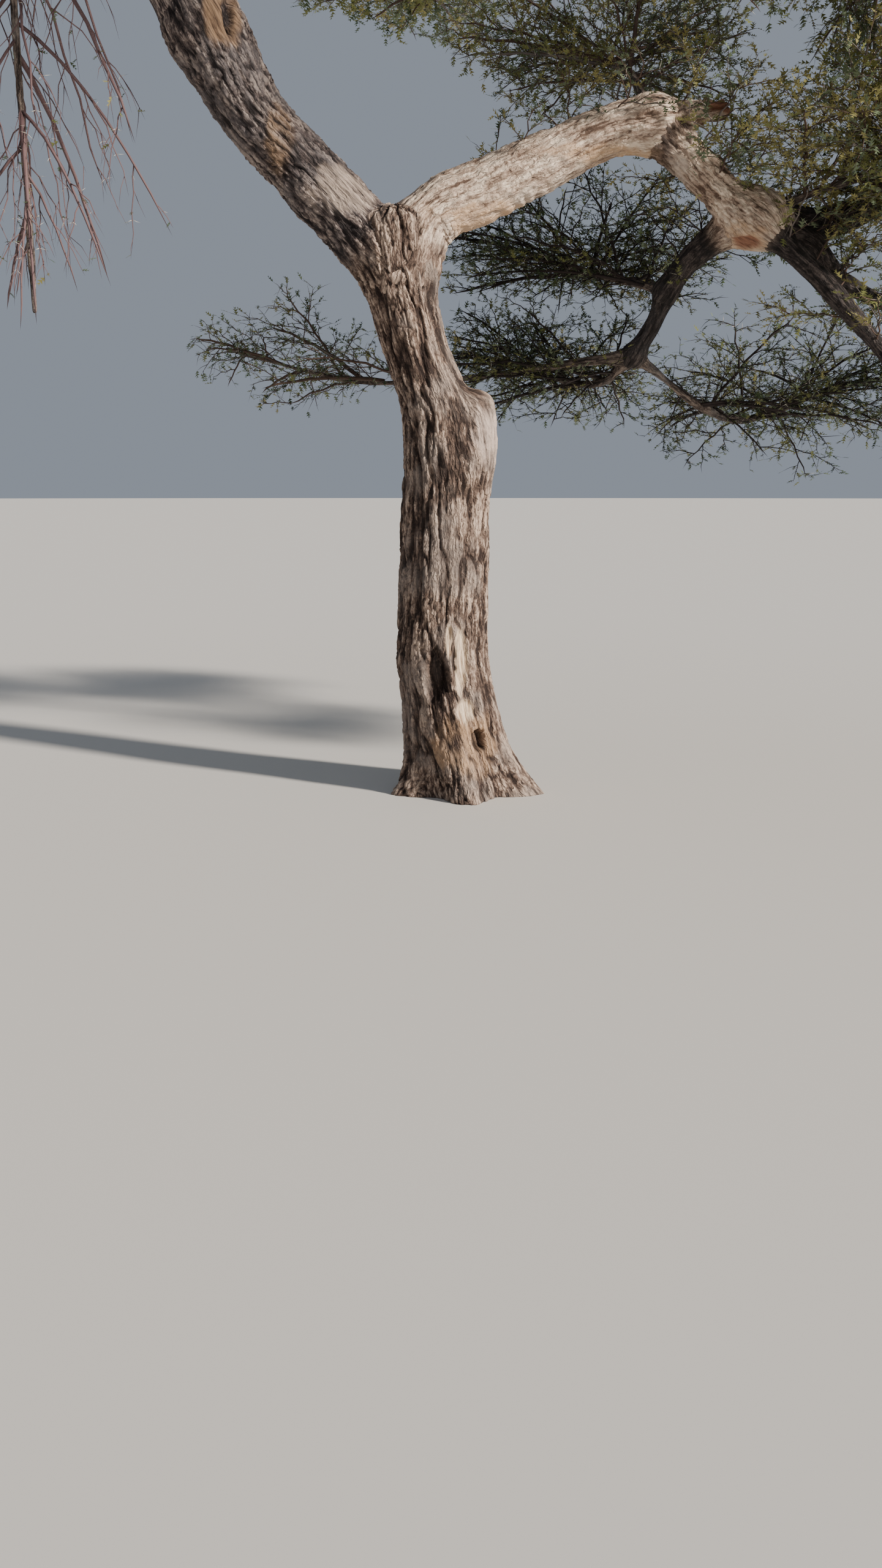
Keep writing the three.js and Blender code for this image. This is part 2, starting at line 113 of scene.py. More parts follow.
# A centripetal curve through a few places: each stretch is the cubic whose end slopes come from the
# places on either side, weighed by the square roots of their distances
def throughPlaces(places, stretches=40):
    places = np.asarray(places, float)
    spread = np.vstack([2 * places[0] - places[1], places, 2 * places[-1] - places[-2]])
    t = np.linspace(0, len(places) - 1, stretches + 1)
    k = np.minimum(t.astype(int), len(places) - 2)
    w = (t - k)[:, None]
    a, b, c, d = (spread[k + i] for i in range(4))
    pairs = ((a, b), (b, c), (c, d))
    before, between, after = (np.sqrt(np.linalg.norm(q - p, axis=1))[:, None] for p, q in pairs)
    leave = ((b - a) / before - (c - a) / (before + between) + (c - b) / between) * between
    arrive = ((c - b) / between - (d - b) / (between + after) + (d - c) / after) * between
    return b + leave * w + (3 * (c - b) - 2 * leave - arrive) * w**2 + (2 * (b - c) + leave + arrive) * w**3


def pathLength(path):
    return np.linalg.norm(np.diff(path, axis=0), axis=1).sum()


# A grid of points by row and column that closes round its columns: each point's number, that of the next
# one round, and the four-cornered faces between the rows
def closedGrid(rows, columns):
    index = np.arange(rows * columns).reshape(rows, columns)
    after = np.roll(index, -1, axis=1)
    quads = np.stack([index[:-1], after[:-1], after[1:], index[1:]], axis=-1).reshape(-1, 4)
    return index, after, quads


# Places at shares of a path's length
def alongPath(path, shares):
    run = np.append(0, np.cumsum(np.linalg.norm(np.diff(path, axis=0), axis=1)))
    return np.stack([np.interp(np.asarray(shares) * run[-1], run, path[:, i]) for i in range(3)], axis=-1)


# Evenly spaced radii read at shares of a limb
def radiusAt(radii, shares):
    return np.interp(shares, np.linspace(0, 1, len(radii)), radii)


# The trunk and the limbs, as in the part's source

trunkShape = {
    "line": [  # height, x, y, radius
        (0, 0, 0, 0.225), (0.7, -0.15, 0.01, 0.244), (1.3, -0.134, 0.02, 0.229),
        (1.65, -0.132, 0.02, 0.207), (2.0, -0.168, 0.015, 0.19), (2.35, -0.29, 0.005, 0.168),
        (2.6, -0.345, 0, 0.168), (2.88, -0.38, 0, 0.19),
    ],
    "roots": [(-12, 0.2), (62, 0.12), (128, 0.15), (194, 0.215), (268, 0.14)],  # bearing, how far out
    "rootWidth": 0.42,  # half the angle that a root takes, in radians
    "rootHeight": 0.21,  # height over which a root dies away
    "stumpBlend": 0.052,  # how widely the healed stump runs into the trunk
    "topSteep": 2.0,  # how much flatter than a ball the top is between the boughs
    "rowStep": 0.0072,
    "columns": 208,
}
fork = (-0.35, 0, 2.62)
limbShapes = {
    "stump": {
        "carrier": "trunk", "start": (-0.09, -0.02, 1.54),
        "through": [(0.03, -0.045, 1.8), (0.058, -0.05, 2.02)], "radii": (0.11, 0.104, 0.074),
    },
    "bough_left": {
        "carrier": "trunk", "start": fork,
        "through": [(-0.52, 0, 2.83), (-0.85, -0.02, 3.17), (-1.07, -0.05, 3.39), (-1.275, -0.1, 3.74)],
        "radii": (0.16, 0.166, 0.155, 0.158, 0.19),
    },
    "bough_right": {
        "carrier": "trunk", "start": fork,
        "through": [
            (-0.215, 0, 2.93), (0.06, 0, 3.06), (0.47, 0, 3.235), (0.69, 0, 3.33), (0.885, 0, 3.36),
        ],
        "radii": (0.16, 0.15, 0.138, 0.14, 0.122, 0.116),
    },
    "dead_stub": {"carrier": "bough_right", "through": [(1.215, 0.02, 3.432)], "radii": (0.08, 0.046)},
    "bough_right_outer": {
        "carrier": "bough_right", "through": [(1.03, 0, 3.24), (1.235, 0, 3.055), (1.39, 0, 2.93)],
        "radii": (0.112, 0.096, 0.098, 0.112),
    },
    "limb_left": {
        "carrier": "bough_left", "radii": (0.15, 0.112, 0.088),
        "through": [(-1.54, -0.13, 4.12), (-1.85, -0.08, 4.48), (-2.2, 0, 4.85)],
    },
    "limb_top": {
        "carrier": "bough_left", "radii": (0.14, 0.108, 0.084),
        "through": [(-1.255, -0.02, 4.14), (-1.08, 0.12, 4.52), (-0.78, 0.24, 4.95)],
    },
    "limb_right_up": {
        "carrier": "bough_right_outer", "radii": (0.088, 0.074, 0.062),
        "through": [(1.83, 0.22, 2.94), (2.38, 0.4, 3.28), (2.85, 0.48, 4.1)],
    },
    "limb_under": {
        "carrier": "bough_right_outer", "radii": (0.092, 0.07, 0.052),
        "through": [(1.25, 0.13, 2.86), (1.13, 0.27, 2.76), (1.05, 0.38, 2.64)],
    },
    "limb_under_low": {
        "carrier": "limb_under", "radii": (0.05, 0.036),
        "through": [(1.01, 0.46, 2.5), (0.915, 0.56, 2.33)],
    },
    "limb_right_low": {
        "carrier": "bough_right_outer", "radii": (0.056, 0.048, 0.036),
        "through": [(1.6, -0.04, 2.765), (1.8, -0.06, 2.58), (2.16, -0.08, 2.2)],
    },
    "limb_right_mid": {
        "carrier": "bough_right_outer", "radii": (0.05, 0.042, 0.034),
        "through": [(1.74, 0.08, 2.83), (1.9, 0.19, 2.68), (2.5, 0.26, 2.43)],
    },
}
burl = {"carrier": "bough_right_outer", "centre": (1.42, 0, 2.925), "radius": 0.128}
crown = {"axis": (-0.2, 0.3), "top": 6.5, "fall": 0.07, "tilt": 0.1}
umbrella = {
    "firstBearing": 15, "below": 0.85, "radii": (0.06, 0.046, 0.038), "sag": 0.07,
    "carriers": ["limb_right_up", "limb_top", "limb_left", "limb_left", "limb_top", "limb_right_up"],
    "reach": {"limb_right_up": 2.65, "limb_top": 2.15, "limb_left": 2.45},
}
centre = {
    "count": 3, "firstBearing": 345, "reach": 0.85, "below": 0.85, "radii": (0.054, 0.044, 0.036),
    "sag": 0.1,
}
outerRing = {"count": 12, "reach": 3.6, "size": (1.18, 1.18, 0.43), "wave": 0.15}
innerRing = {"count": 6, "firstBearing": 15, "reach": 1.75, "size": (1.08, 1.08, 0.43), "rise": 0.06}
topMass = {"size": (0.98, 0.98, 0.42), "rise": 0.12}
lowerMasses = {  # carrier, middle, half its size
    "bend_mass": ("bough_right", (0.76, 0.62, 3.95), (0.82, 0.56, 0.43)),
    "right_mass": ("bough_right_outer", (2.05, -0.23, 3.27), (0.82, 0.64, 0.4)),
    "right_high_mass": ("limb_right_up", (3.25, -0.42, 4.25), (0.86, 0.76, 0.38)),
    "right_low_mass": ("limb_right_low", (2.95, -0.25, 2.01), (0.88, 0.76, 0.4)),
    "right_far_mass": ("limb_right_mid", (3.42, 0.42, 2.83), (0.94, 0.82, 0.42)),
    "arch_mass": ("limb_under", (0.72, 1.05, 2.96), (0.86, 0.62, 0.34)),
    "back_mass": ("limb_under_low", (0.56, 1.06, 2.38), (0.82, 0.64, 0.29)),
    "far_left_mass": ("limb_under_low", (-0.9, 1.25, 2.44), (0.78, 0.62, 0.34)),
    "under_right_mass": ("limb_under_low", (1.9, 1.25, 2.26), (0.82, 0.7, 0.4)),
    "hanging_left_mass": ("limb_left", (-2.08, -0.42, 3.42), (0.56, 0.48, 1.12)),
    "hanging_right_mass": ("centre_limb_1", (1.88, 0.06, 4.18), (0.56, 0.48, 0.78)),
}
limbs = {}


# A limb from its own start, or else from its carrier's tip
def growLimb(name, carrier, through, radii, start=None):
    if start is None:
        start = limbs[carrier]["path"][-1]
    path = throughPlaces([start, *through])
    limbs[name] = {"carrier": carrier, "path": path, "radii": radii, "length": pathLength(path)}


# A place at a bearing and a distance from the crown's axis, so far above the canopy's middle, which
# falls with the square of the distance and is lower on the right
def roundCrown(bearing, reach, above):
    angle = math.radians(bearing)
    x = crown["axis"][0] + reach * math.cos(angle)
    y = crown["axis"][1] + reach * math.sin(angle)
    return np.array([x, y, crown["top"] - crown["fall"] * reach**2 - crown["tilt"] * x + above])


# A limb that sags between its carrier's tip and its own
def growSpreading(name, carrier, tip, values):
    start = limbs[carrier]["path"][-1]
    middle = (start + tip) / 2 - up * values["sag"] * np.linalg.norm(tip - start)
    growLimb(name, carrier, [middle, tip], values["radii"])


for limbName, limbShape in limbShapes.items():
    growLimb(limbName, **limbShape)
for k, carrierName in enumerate(umbrella["carriers"]):
    bearing = umbrella["firstBearing"] + 60 * k
    limbTip = roundCrown(bearing, umbrella["reach"][carrierName], -umbrella["below"])
    growSpreading(f"umbrella_limb_{k + 1}", carrierName, limbTip, umbrella)
for k in range(centre["count"]):
    limbTip = roundCrown(centre["firstBearing"] + 120 * k, centre["reach"], -centre["below"])
    growSpreading(f"centre_limb_{k + 1}", "limb_top", limbTip, centre)
masses = []
for k in range(outerRing["count"]):
    middle = roundCrown(30 * k, outerRing["reach"], -outerRing["wave"] * (k % 2))
    masses.append((f"outer_mass_{k + 1}", f"umbrella_limb_{k // 2 + 1}", middle, outerRing["size"]))
for k in range(innerRing["count"]):
    middle = roundCrown(innerRing["firstBearing"] + 60 * k, innerRing["reach"], innerRing["rise"])
    masses.append((f"inner_mass_{k + 1}", f"centre_limb_{(k + 1) // 2 % 3 + 1}", middle, innerRing["size"]))
masses.append(("top_mass", "limb_top", roundCrown(0, 0, topMass["rise"]), topMass["size"]))
for massName, (carrierName, middle, size) in lowerMasses.items():
    masses.append((massName, carrierName, middle, size))
massNames = [mass[0] for mass in masses]
massMiddles = np.array([mass[2] for mass in masses], float)
massSizes = np.array([mass[3] for mass in masses], float)
massHangs = massSizes[:, 2] > massSizes[:, 0]

# Each mass has one stem: from its limb's tip to a bend low in the mass and out to its far side, or straight
# down through a hanging one. Shares of the way outward and of half its height.
stemShape = {
    "radii": (0.026, 0.009), "bend": (-0.5, -0.62), "end": (0.82, 0.05), "hangFrom": 0.9, "hangTo": -0.88,
}
limbNames = list(limbs)
for (massName, carrierName, _, _), middle, size, hangs in zip(masses, massMiddles, massSizes, massHangs):
    outward = unit((middle - limbs[carrierName]["path"][-1]) * (1, 1, 0))
    reach = 1 / np.linalg.norm(outward / size)
    bendOut, bendUp = (0, stemShape["hangFrom"]) if hangs else stemShape["bend"]
    endOut, endUp = (0, stemShape["hangTo"]) if hangs else stemShape["end"]
    bend = middle + outward * bendOut * reach + up * bendUp * size[2]
    end = middle + outward * endOut * reach + up * endUp * size[2]
    growLimb(massName, carrierName, [bend, end], stemShape["radii"])
print("grown:", len(limbNames), "limbs and", len(masses), "masses")


# Making pieces

# A mesh from a vertex array and face arrays of three or more columns, with vertex attributes,
# riding on the tree's one body and standing for its CAD nodes
def makePiece(name, points, faceArrays, materials, nodes,
              attributes=None, faceMaterial=None, smooth=True):
    mesh = bpy.data.meshes.new(name)
    loops = np.concatenate([faces.ravel() for faces in faceArrays]).astype(np.int32)
    sides = np.concatenate([np.full(len(faces), faces.shape[1]) for faces in faceArrays])
    mesh.vertices.add(len(points))
    mesh.vertices.foreach_set("co", np.asarray(points, np.float32).ravel())
    mesh.loops.add(len(loops))
    mesh.loops.foreach_set("vertex_index", loops)
    mesh.polygons.add(len(sides))
    mesh.polygons.foreach_set("loop_start", np.append(0, np.cumsum(sides)[:-1]).astype(np.int32))
    mesh.update(calc_edges=True)
    mesh.polygons.foreach_set("use_smooth", np.full(len(sides), smooth))
    for material in materials:
        mesh.materials.append(material)
    if faceMaterial is not None:
        mesh.polygons.foreach_set("material_index", faceMaterial.astype(np.int32))
    for label, values in (attributes or {}).items():
        kind = "FLOAT" if values.ndim == 1 else "FLOAT_VECTOR"
        layer = mesh.attributes.new(label, kind, "POINT")
        layer.data.foreach_set("value" if values.ndim == 1 else "vector", values.astype(np.float32).ravel())
    mesh.validate()
    piece = bpy.data.objects.new(name, mesh)
    bpy.context.scene.collection.objects.link(piece)
    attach(piece, "root")
    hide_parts(*nodes)
    print(name, int((sides - 2).sum()), "triangles")


# Bark skins: every limb's surface is sought outward from its middle line on the joined shape of it and its
# neighbours, so that boughs run into each other without a seam

blendWidth = 0.026  # how widely neighbouring limbs run into each other
seamLap = 0.01  # how far a skin laps over the next one
skinSearch = {"halvings": 13, "trunkReach": 1.0, "limbReach": 2.6}  # reach in metres, and in a limb's radii
trunkSmoothing = {"rows": 145, "window": 15}  # how the straight runs of the trunk's values are rounded


# The trunk's middle line and radius at heights
def trunkAt(heights):
    rows = np.array(trunkShape["line"])
    fine = np.linspace(0, rows[-1, 0], trunkSmoothing["rows"])
    window = np.hanning(trunkSmoothing["window"])
    window = window / window.sum()
    half = len(window) // 2
    made = []
    for column in (1, 2, 3):
        values = np.interp(fine, rows[:, 0], rows[:, column])
        before = 2 * values[0] - values[half:0:-1]
        after = 2 * values[-1] - values[-2:-half - 2:-1]
        smoothed = np.convolve(np.concatenate([before, values, after]), window, "valid")
        made.append(np.interp(heights, fine, smoothed))
    return made


# How far the buttress roots stand out: each is a bell curve of the bearing, dying away with height
def rootFlare(bearing, height):
    out = np.zeros_like(bearing)
    for angle, reach in trunkShape["roots"]:
        turn = bearing - math.radians(angle)
        away = np.arctan2(np.sin(turn), np.cos(turn)) / trunkShape["rootWidth"]
        out += reach * np.exp(-away * away)
    return out * np.exp(-height / trunkShape["rootHeight"])


# The soft minimum of two distances, over a width
def softLesser(one, other, width):
    return -width * np.logaddexp(-one / width, -other / width)


# Distance from a limb's surface, negative inside: from the nearest place on its middle line, less the
# radius there. The trunk's is level, with its root flare and the healed stump on its side, and the outer
# bough's takes in its burl.
def surfaceDistance(name, places):
    if name == "trunk":
        height = np.clip(places[:, 2], 0, trunkShape["line"][-1][0])
        x, y, radius = trunkAt(height)
        offset = (places - np.stack([x, y, height], axis=1)) * (1, 1, trunkShape["topSteep"])
        bearing = np.arctan2(offset[:, 1], offset[:, 0])
        distance = np.linalg.norm(offset, axis=1) - radius - rootFlare(bearing, height)
        return softLesser(distance, surfaceDistance("stump", places), trunkShape["stumpBlend"])
    limb = limbs[name]
    shares = np.linspace(0, 1, 11)
    line = alongPath(limb["path"], shares)
    radii = radiusAt(limb["radii"], shares)
    run = np.diff(line, axis=0)
    offset = places[:, None] - line[None, :-1]
    share = np.clip((offset * run).sum(-1) / (run**2).sum(-1), 0, 1)
    away = np.linalg.norm(offset - share[..., None] * run, axis=-1)
    distance = (away - radii[:-1] - share * np.diff(radii)).min(axis=1)
    if name == burl["carrier"]:
        knob = np.linalg.norm(places - np.array(burl["centre"]), axis=1) - burl["radius"]
        distance = softLesser(distance, knob, blendWidth)
    return distance


# The joined shape as one limb sees it: the soft minimum of all the distances. Where another limb is nearer
# this limb's skin sinks under the other's, a little sooner under those that come before it in the order.
def joinedDistance(own, others, places):
    order = ["trunk", *limbs]
    mine = surfaceDistance(own, places)
    every, sink = [mine], np.zeros(len(places))
    for other in others:
        theirs = surfaceDistance(other, places)
        ahead = seamLap if order.index(other) < order.index(own) else -seamLap
        every.append(theirs)
        sink = np.maximum(sink, mine - theirs + ahead)
    return sink - blendWidth * np.logaddexp.reduce(-np.stack(every) / blendWidth, axis=0)


# Limbs that touch one: its carrier, what it carries, and what shares its carrier
def neighboursOf(name):
    carrier = limbs[name]["carrier"] if name in limbs else None
    near = [carrier] if carrier else []
    near += [other for other, limb in limbs.items() if other != name and limb["carrier"] in (name, carrier)]
    return [other for other in near if other != "stump"]


# The rays that a skin is sought along: square to the middle line over its length, and fanned round to the
# line's own direction at each end
def skinRays(path, length, endRadii, rowStep, columns):
    rows = max(6, round(length / rowStep))
    line = alongPath(path, np.linspace(0, 1, rows + 1))
    tangent = unit(np.gradient(line, axis=0))
    across = unit(np.cross(tangent, np.eye(3)[np.argmin(np.abs(tangent).max(axis=0))]))
    fans = []
    for radius in endRadii:
        count = max(3, round(radius * 1.2 / rowStep))
        fans.append(np.linspace(0, math.pi / 2, count + 1)[1:-1])
    row = np.concatenate([np.zeros(len(fans[0]), int), np.arange(rows + 1), np.full(len(fans[1]), rows)])
    turn = np.concatenate([-fans[0][::-1], np.zeros(rows + 1), fans[1]])
    run = row * length / rows + np.where(turn < 0, endRadii[0], endRadii[1]) * np.sin(turn)
    origin, tangent, across = line[row], tangent[row], across[row]
    other = np.cross(across, tangent)
    angle = np.linspace(0, 2 * math.pi, columns, endpoint=False)[None, :, None]
    radial = np.cos(angle) * across[:, None] + np.sin(angle) * other[:, None]
    direction = np.cos(turn)[:, None, None] * radial + np.sin(turn)[:, None, None] * tangent[:, None]
    poles = (line[0], -tangent[0]), (line[-1], tangent[-1])
    return origin, direction, run, poles


# How far each ray runs before it leaves the joined shape, by halving
def raysOut(name, origins, directions, limit):
    others = neighboursOf(name)
    low = np.zeros(len(origins))
    high = np.full(len(origins), limit)
    for _ in range(skinSearch["halvings"]):
        middle = (low + high) / 2
        outside = joinedDistance(name, others, origins + directions * middle[:, None]) > 0
        high = np.where(outside, middle, high)
        low = np.where(outside, low, middle)
    return (low + high) / 2


# Each kind of bark: a ridge's width and length, how much of it the furrow takes, the furrow's depth, and
# how high flakes, lumps and folds stand
barkKinds = {
    "furrowed": {
        "ridge": (0.05, 0.34), "crack": 0.3, "depth": 0.019, "flake": 0.005, "lump": 0.009, "fold": 0,
    },
    "scaly": {
        "ridge": (0.034, 0.13), "crack": 0.3, "depth": 0.013, "flake": 0.007, "lump": 0.012, "fold": 0,
    },
    "wrinkled": {
        "ridge": (0.045, 0.26), "crack": 0.24, "depth": 0.0065, "flake": 0.005, "lump": 0.012,
        "fold": 0.005,
    },
    "young": {
        "ridge": (0.03, 0.12), "crack": 0.3, "depth": 0.0024, "flake": 0.002, "lump": 0.006, "fold": 0,
    },
}
# Sizes in metres of the noises that every bark shares, round the limb twice and along it
barkScales = {
    "wander": (0.09, 0.09, 0.16), "depth": 0.3, "fine": (0.016, 0.016, 0.035), "ragged": (0.03, 0.03, 0.08),
    "lump": (0.2, 0.2, 0.3), "foldBend": 0.15, "foldPatch": 0.25, "fibre": (0.007, 0.007, 0.12),
    "splinter": (0.014, 0.014, 0.2),
}
barkHeights = {  # metres
    "wander": 0.02, "foldApart": 0.085, "bareDent": 0.014, "bareRim": 0.006, "bareFibre": 0.0035,
    "splinter": 0.03,
}
# Marks on the bark: place, size, what shows there, and how deep a dent is; the hollow marks darken the
# colour as painted shade in their dents, and as painted shadow where they have no depth
barkMarks = [
    {"kind": "bare", "at": (-0.046, -0.21, 0.74), "size": (0.035, 0.12, 0.19)},
    {"kind": "bare", "at": (-0.105, -0.22, 0.84), "size": (0.022, 0.1, 0.1)},
    {"kind": "bare", "at": (-0.03, -0.21, 0.47), "size": (0.05, 0.1, 0.07)},
    {"kind": "bare", "at": (-1.16, -0.26, 3.8), "size": (0.09, 0.14, 0.17)},
    {"kind": "bare", "at": (1.34, -0.06, 2.78), "size": (0.09, 0.1, 0.05)},
    {"kind": "warm", "at": (1.33, -0.08, 2.8), "size": (0.14, 0.14, 0.09)},
    {"kind": "warm", "at": (-0.02, -0.2, 0.3), "size": (0.17, 0.2, 0.18)},
    {"kind": "warm", "at": (0.1, -0.03, 2.92), "size": (0.5, 0.13, 0.08)},
    {"kind": "warm", "at": (0.6, -0.03, 3.2), "size": (0.4, 0.13, 0.05)},
    {"kind": "warm", "at": (-0.93, -0.17, 3.24), "size": (0.07, 0.12, 0.14)},
    {"kind": "paleAndSunlit", "at": (0.08, -0.06, 1.87), "size": (0.11, 0.16, 0.17)},
    # Painted sunlight: the left bough's low upper face lightened where the sun falls on it; the mark above
    # is the healed stump's own light colour
    {"kind": "paleAndSunlit", "at": (-0.62, -0.14, 3.03), "size": (0.17, 0.12, 0.13)},
    # Dents whose colour is also darkened: painted shade in the recess
    {"kind": "hollowAndShade", "at": (-0.17, -0.25, 0.66), "size": (0.062, 0.1, 0.13), "depth": 0.05},
    {"kind": "hollowAndShade", "at": (-0.079, -0.25, 0.75), "size": (0.016, 0.1, 0.14), "depth": 0.024},
    {"kind": "hollowAndShade", "at": (0.052, -0.22, 0.31), "size": (0.045, 0.1, 0.055), "depth": 0.05},
    {"kind": "hollowAndShade", "at": (0.86, -0.14, 3.35), "size": (0.06, 0.1, 0.035), "depth": 0.018},
    {"kind": "hollowAndShade", "at": (-1.13, -0.28, 3.84), "size": (0.03, 0.12, 0.16), "depth": 0.035},
    # Painted shadow, with no dent or a slight one, on the outer bough's underside and round the dead stub's
    # root
    {"kind": "hollowAndShade", "at": (0.93, 0.02, 3.2), "size": (0.07, 0.13, 0.06)},
    {"kind": "hollowAndShade", "at": (1.12, 0.03, 3.02), "size": (0.15, 0.14, 0.06)},
    {"kind": "hollowAndShade", "at": (1.22, 0.06, 2.86), "size": (0.07, 0.12, 0.09)},
    {"kind": "hollowAndShade", "at": (1.06, -0.04, 3.35), "size": (0.09, 0.12, 0.03), "depth": 0.01},
    {"kind": "hollowAndShade", "at": (1.16, -0.02, 3.37), "size": (0.15, 0.13, 0.04)},
    {"kind": "torn", "at": (1.23, 0.02, 3.435), "size": (0.1, 0.12, 0.12)},
    {"kind": "bare", "at": (1.22, 0.02, 3.41), "size": (0.1, 0.12, 0.08)},
]


# How strongly a kind of mark shows at places: full in the middle of its ellipsoid and fading past its rim,
# with a ragged edge
def markShare(kind, places, ragged):
    shown = np.zeros(len(places))
    depth = np.zeros(len(places))
    for mark in barkMarks:
        if mark["kind"] == kind:
            away = np.linalg.norm((places - np.array(mark["at"])) / np.array(mark["size"]), axis=1)
            share = 1 - smoothStep(0.75, 1.15, away + 0.22 * ragged)
            shown = np.maximum(shown, share)
            depth = np.maximum(depth, share * mark.get("depth", 0))
    return shown, depth


# The bark's height over a skin, from coordinates that run round it and along it. Furrows follow the lines
# where a long soft noise is zero, flakes step the ridges between them, folds run slantwise, and lumps
# swell it all.
def barkRelief(grain, places, kind, seed):
    values = barkKinds[kind]
    across, along = values["ridge"]
    wander = np.stack([softNoise(grain / barkScales["wander"], seed + k) for k in (0, 1)], axis=1)
    bent = grain + np.column_stack([wander * barkHeights["wander"], np.zeros(len(grain))])
    furrow = softNoise(bent / (across, across, along), seed + 5)
    furrow += 0.4 * softNoise(bent / (across * 0.5, across * 0.5, along * 0.4), seed + 7)
    deep = 0.65 + 0.35 * softNoise(grain / barkScales["depth"], seed + 9)
    flakeEdge, flakeNumber = plates(bent / (across * 0.55, across * 0.55, along * 0.22), seed + 15)
    rise = smoothStep(0, values["crack"], np.abs(furrow)) * (0.72 + 0.28 * smoothStep(0, 0.16, flakeEdge))
    fine = roughNoise(grain / barkScales["fine"], 2, seed + 25)
    ragged = roughNoise(grain / barkScales["ragged"], 2, seed + 31)
    lumps = roughNoise(grain / barkScales["lump"], 2, seed + 41)
    slant = 2 * np.arctan2(grain[:, 1], grain[:, 0])
    slant += 5 * softNoise(grain / barkScales["foldBend"], seed + 51)
    fold = np.sin(2 * math.pi * grain[:, 2] / barkHeights["foldApart"] + slant)
    fold = fold * smoothStep(-0.2, 0.6, softNoise(grain / barkScales["foldPatch"], seed + 55))
    bare = markShare("bare", places, ragged)[0]
    paleAndSunlit = markShare("paleAndSunlit", places, ragged)[0]
    warm = markShare("warm", places, ragged)[0]
    torn = markShare("torn", places, ragged)[0]
    hollowAndShade, dent = markShare("hollowAndShade", places, ragged)
    cover = 1 - np.maximum(bare * 0.95, paleAndSunlit * 0.55)
    height = -values["depth"] * deep * (1 - rise) * cover
    flakes = (flakeNumber * smoothStep(0, 0.2, flakeEdge) - 0.3) * (0.3 + 0.7 * rise)
    height += values["flake"] * flakes * cover
    height += values["depth"] * 0.35 * np.abs(furrow) * cover
    height += values["flake"] * 0.55 * fine * (0.25 + 0.75 * cover)
    height += values["fold"] * fold * (0.6 + 0.4 * lumps) + values["lump"] * lumps
    fibre = softNoise(grain / barkScales["fibre"], seed + 61)
    rim = bare * (1 - bare) * 4
    height += barkHeights["bareRim"] * rim + barkHeights["bareFibre"] * fibre * bare
    height -= barkHeights["bareDent"] * bare + dent
    height += barkHeights["splinter"] * torn * softNoise(grain / barkScales["splinter"], seed + 81)
    crest = 0.7 + 0.3 * np.clip(np.abs(furrow) * 2, 0, 1)
    shade = 0.1 + 0.9 * rise * cover * crest + 0.55 * (1 - cover)
    folded = 0.2 * fold * (values["fold"] > 0)
    # The hollow marks darken the relief and so the colour: painted shade in their dents, painted shadow
    # where they have no depth
    shade = np.clip(shade + 0.22 * fine + 0.14 * ragged + folded, 0, 1) * (1 - 0.8 * hollowAndShade)
    tone = 0.4 * softNoise(bent / (across, across, along), seed + 71) + 0.4 * (flakeNumber - 0.5)
    return height, {
        "relief": shade, "tone": np.clip(0.5 + tone, 0, 1), "bare": bare * (1 - hollowAndShade), "warm": warm,
        "paleAndSunlit": paleAndSunlit,
    }


ownAfter = 0.15  # metres along a limb before its bark has lost its carrier's colours
evenRows = 6  # rows to either side that the grain's radius is averaged over


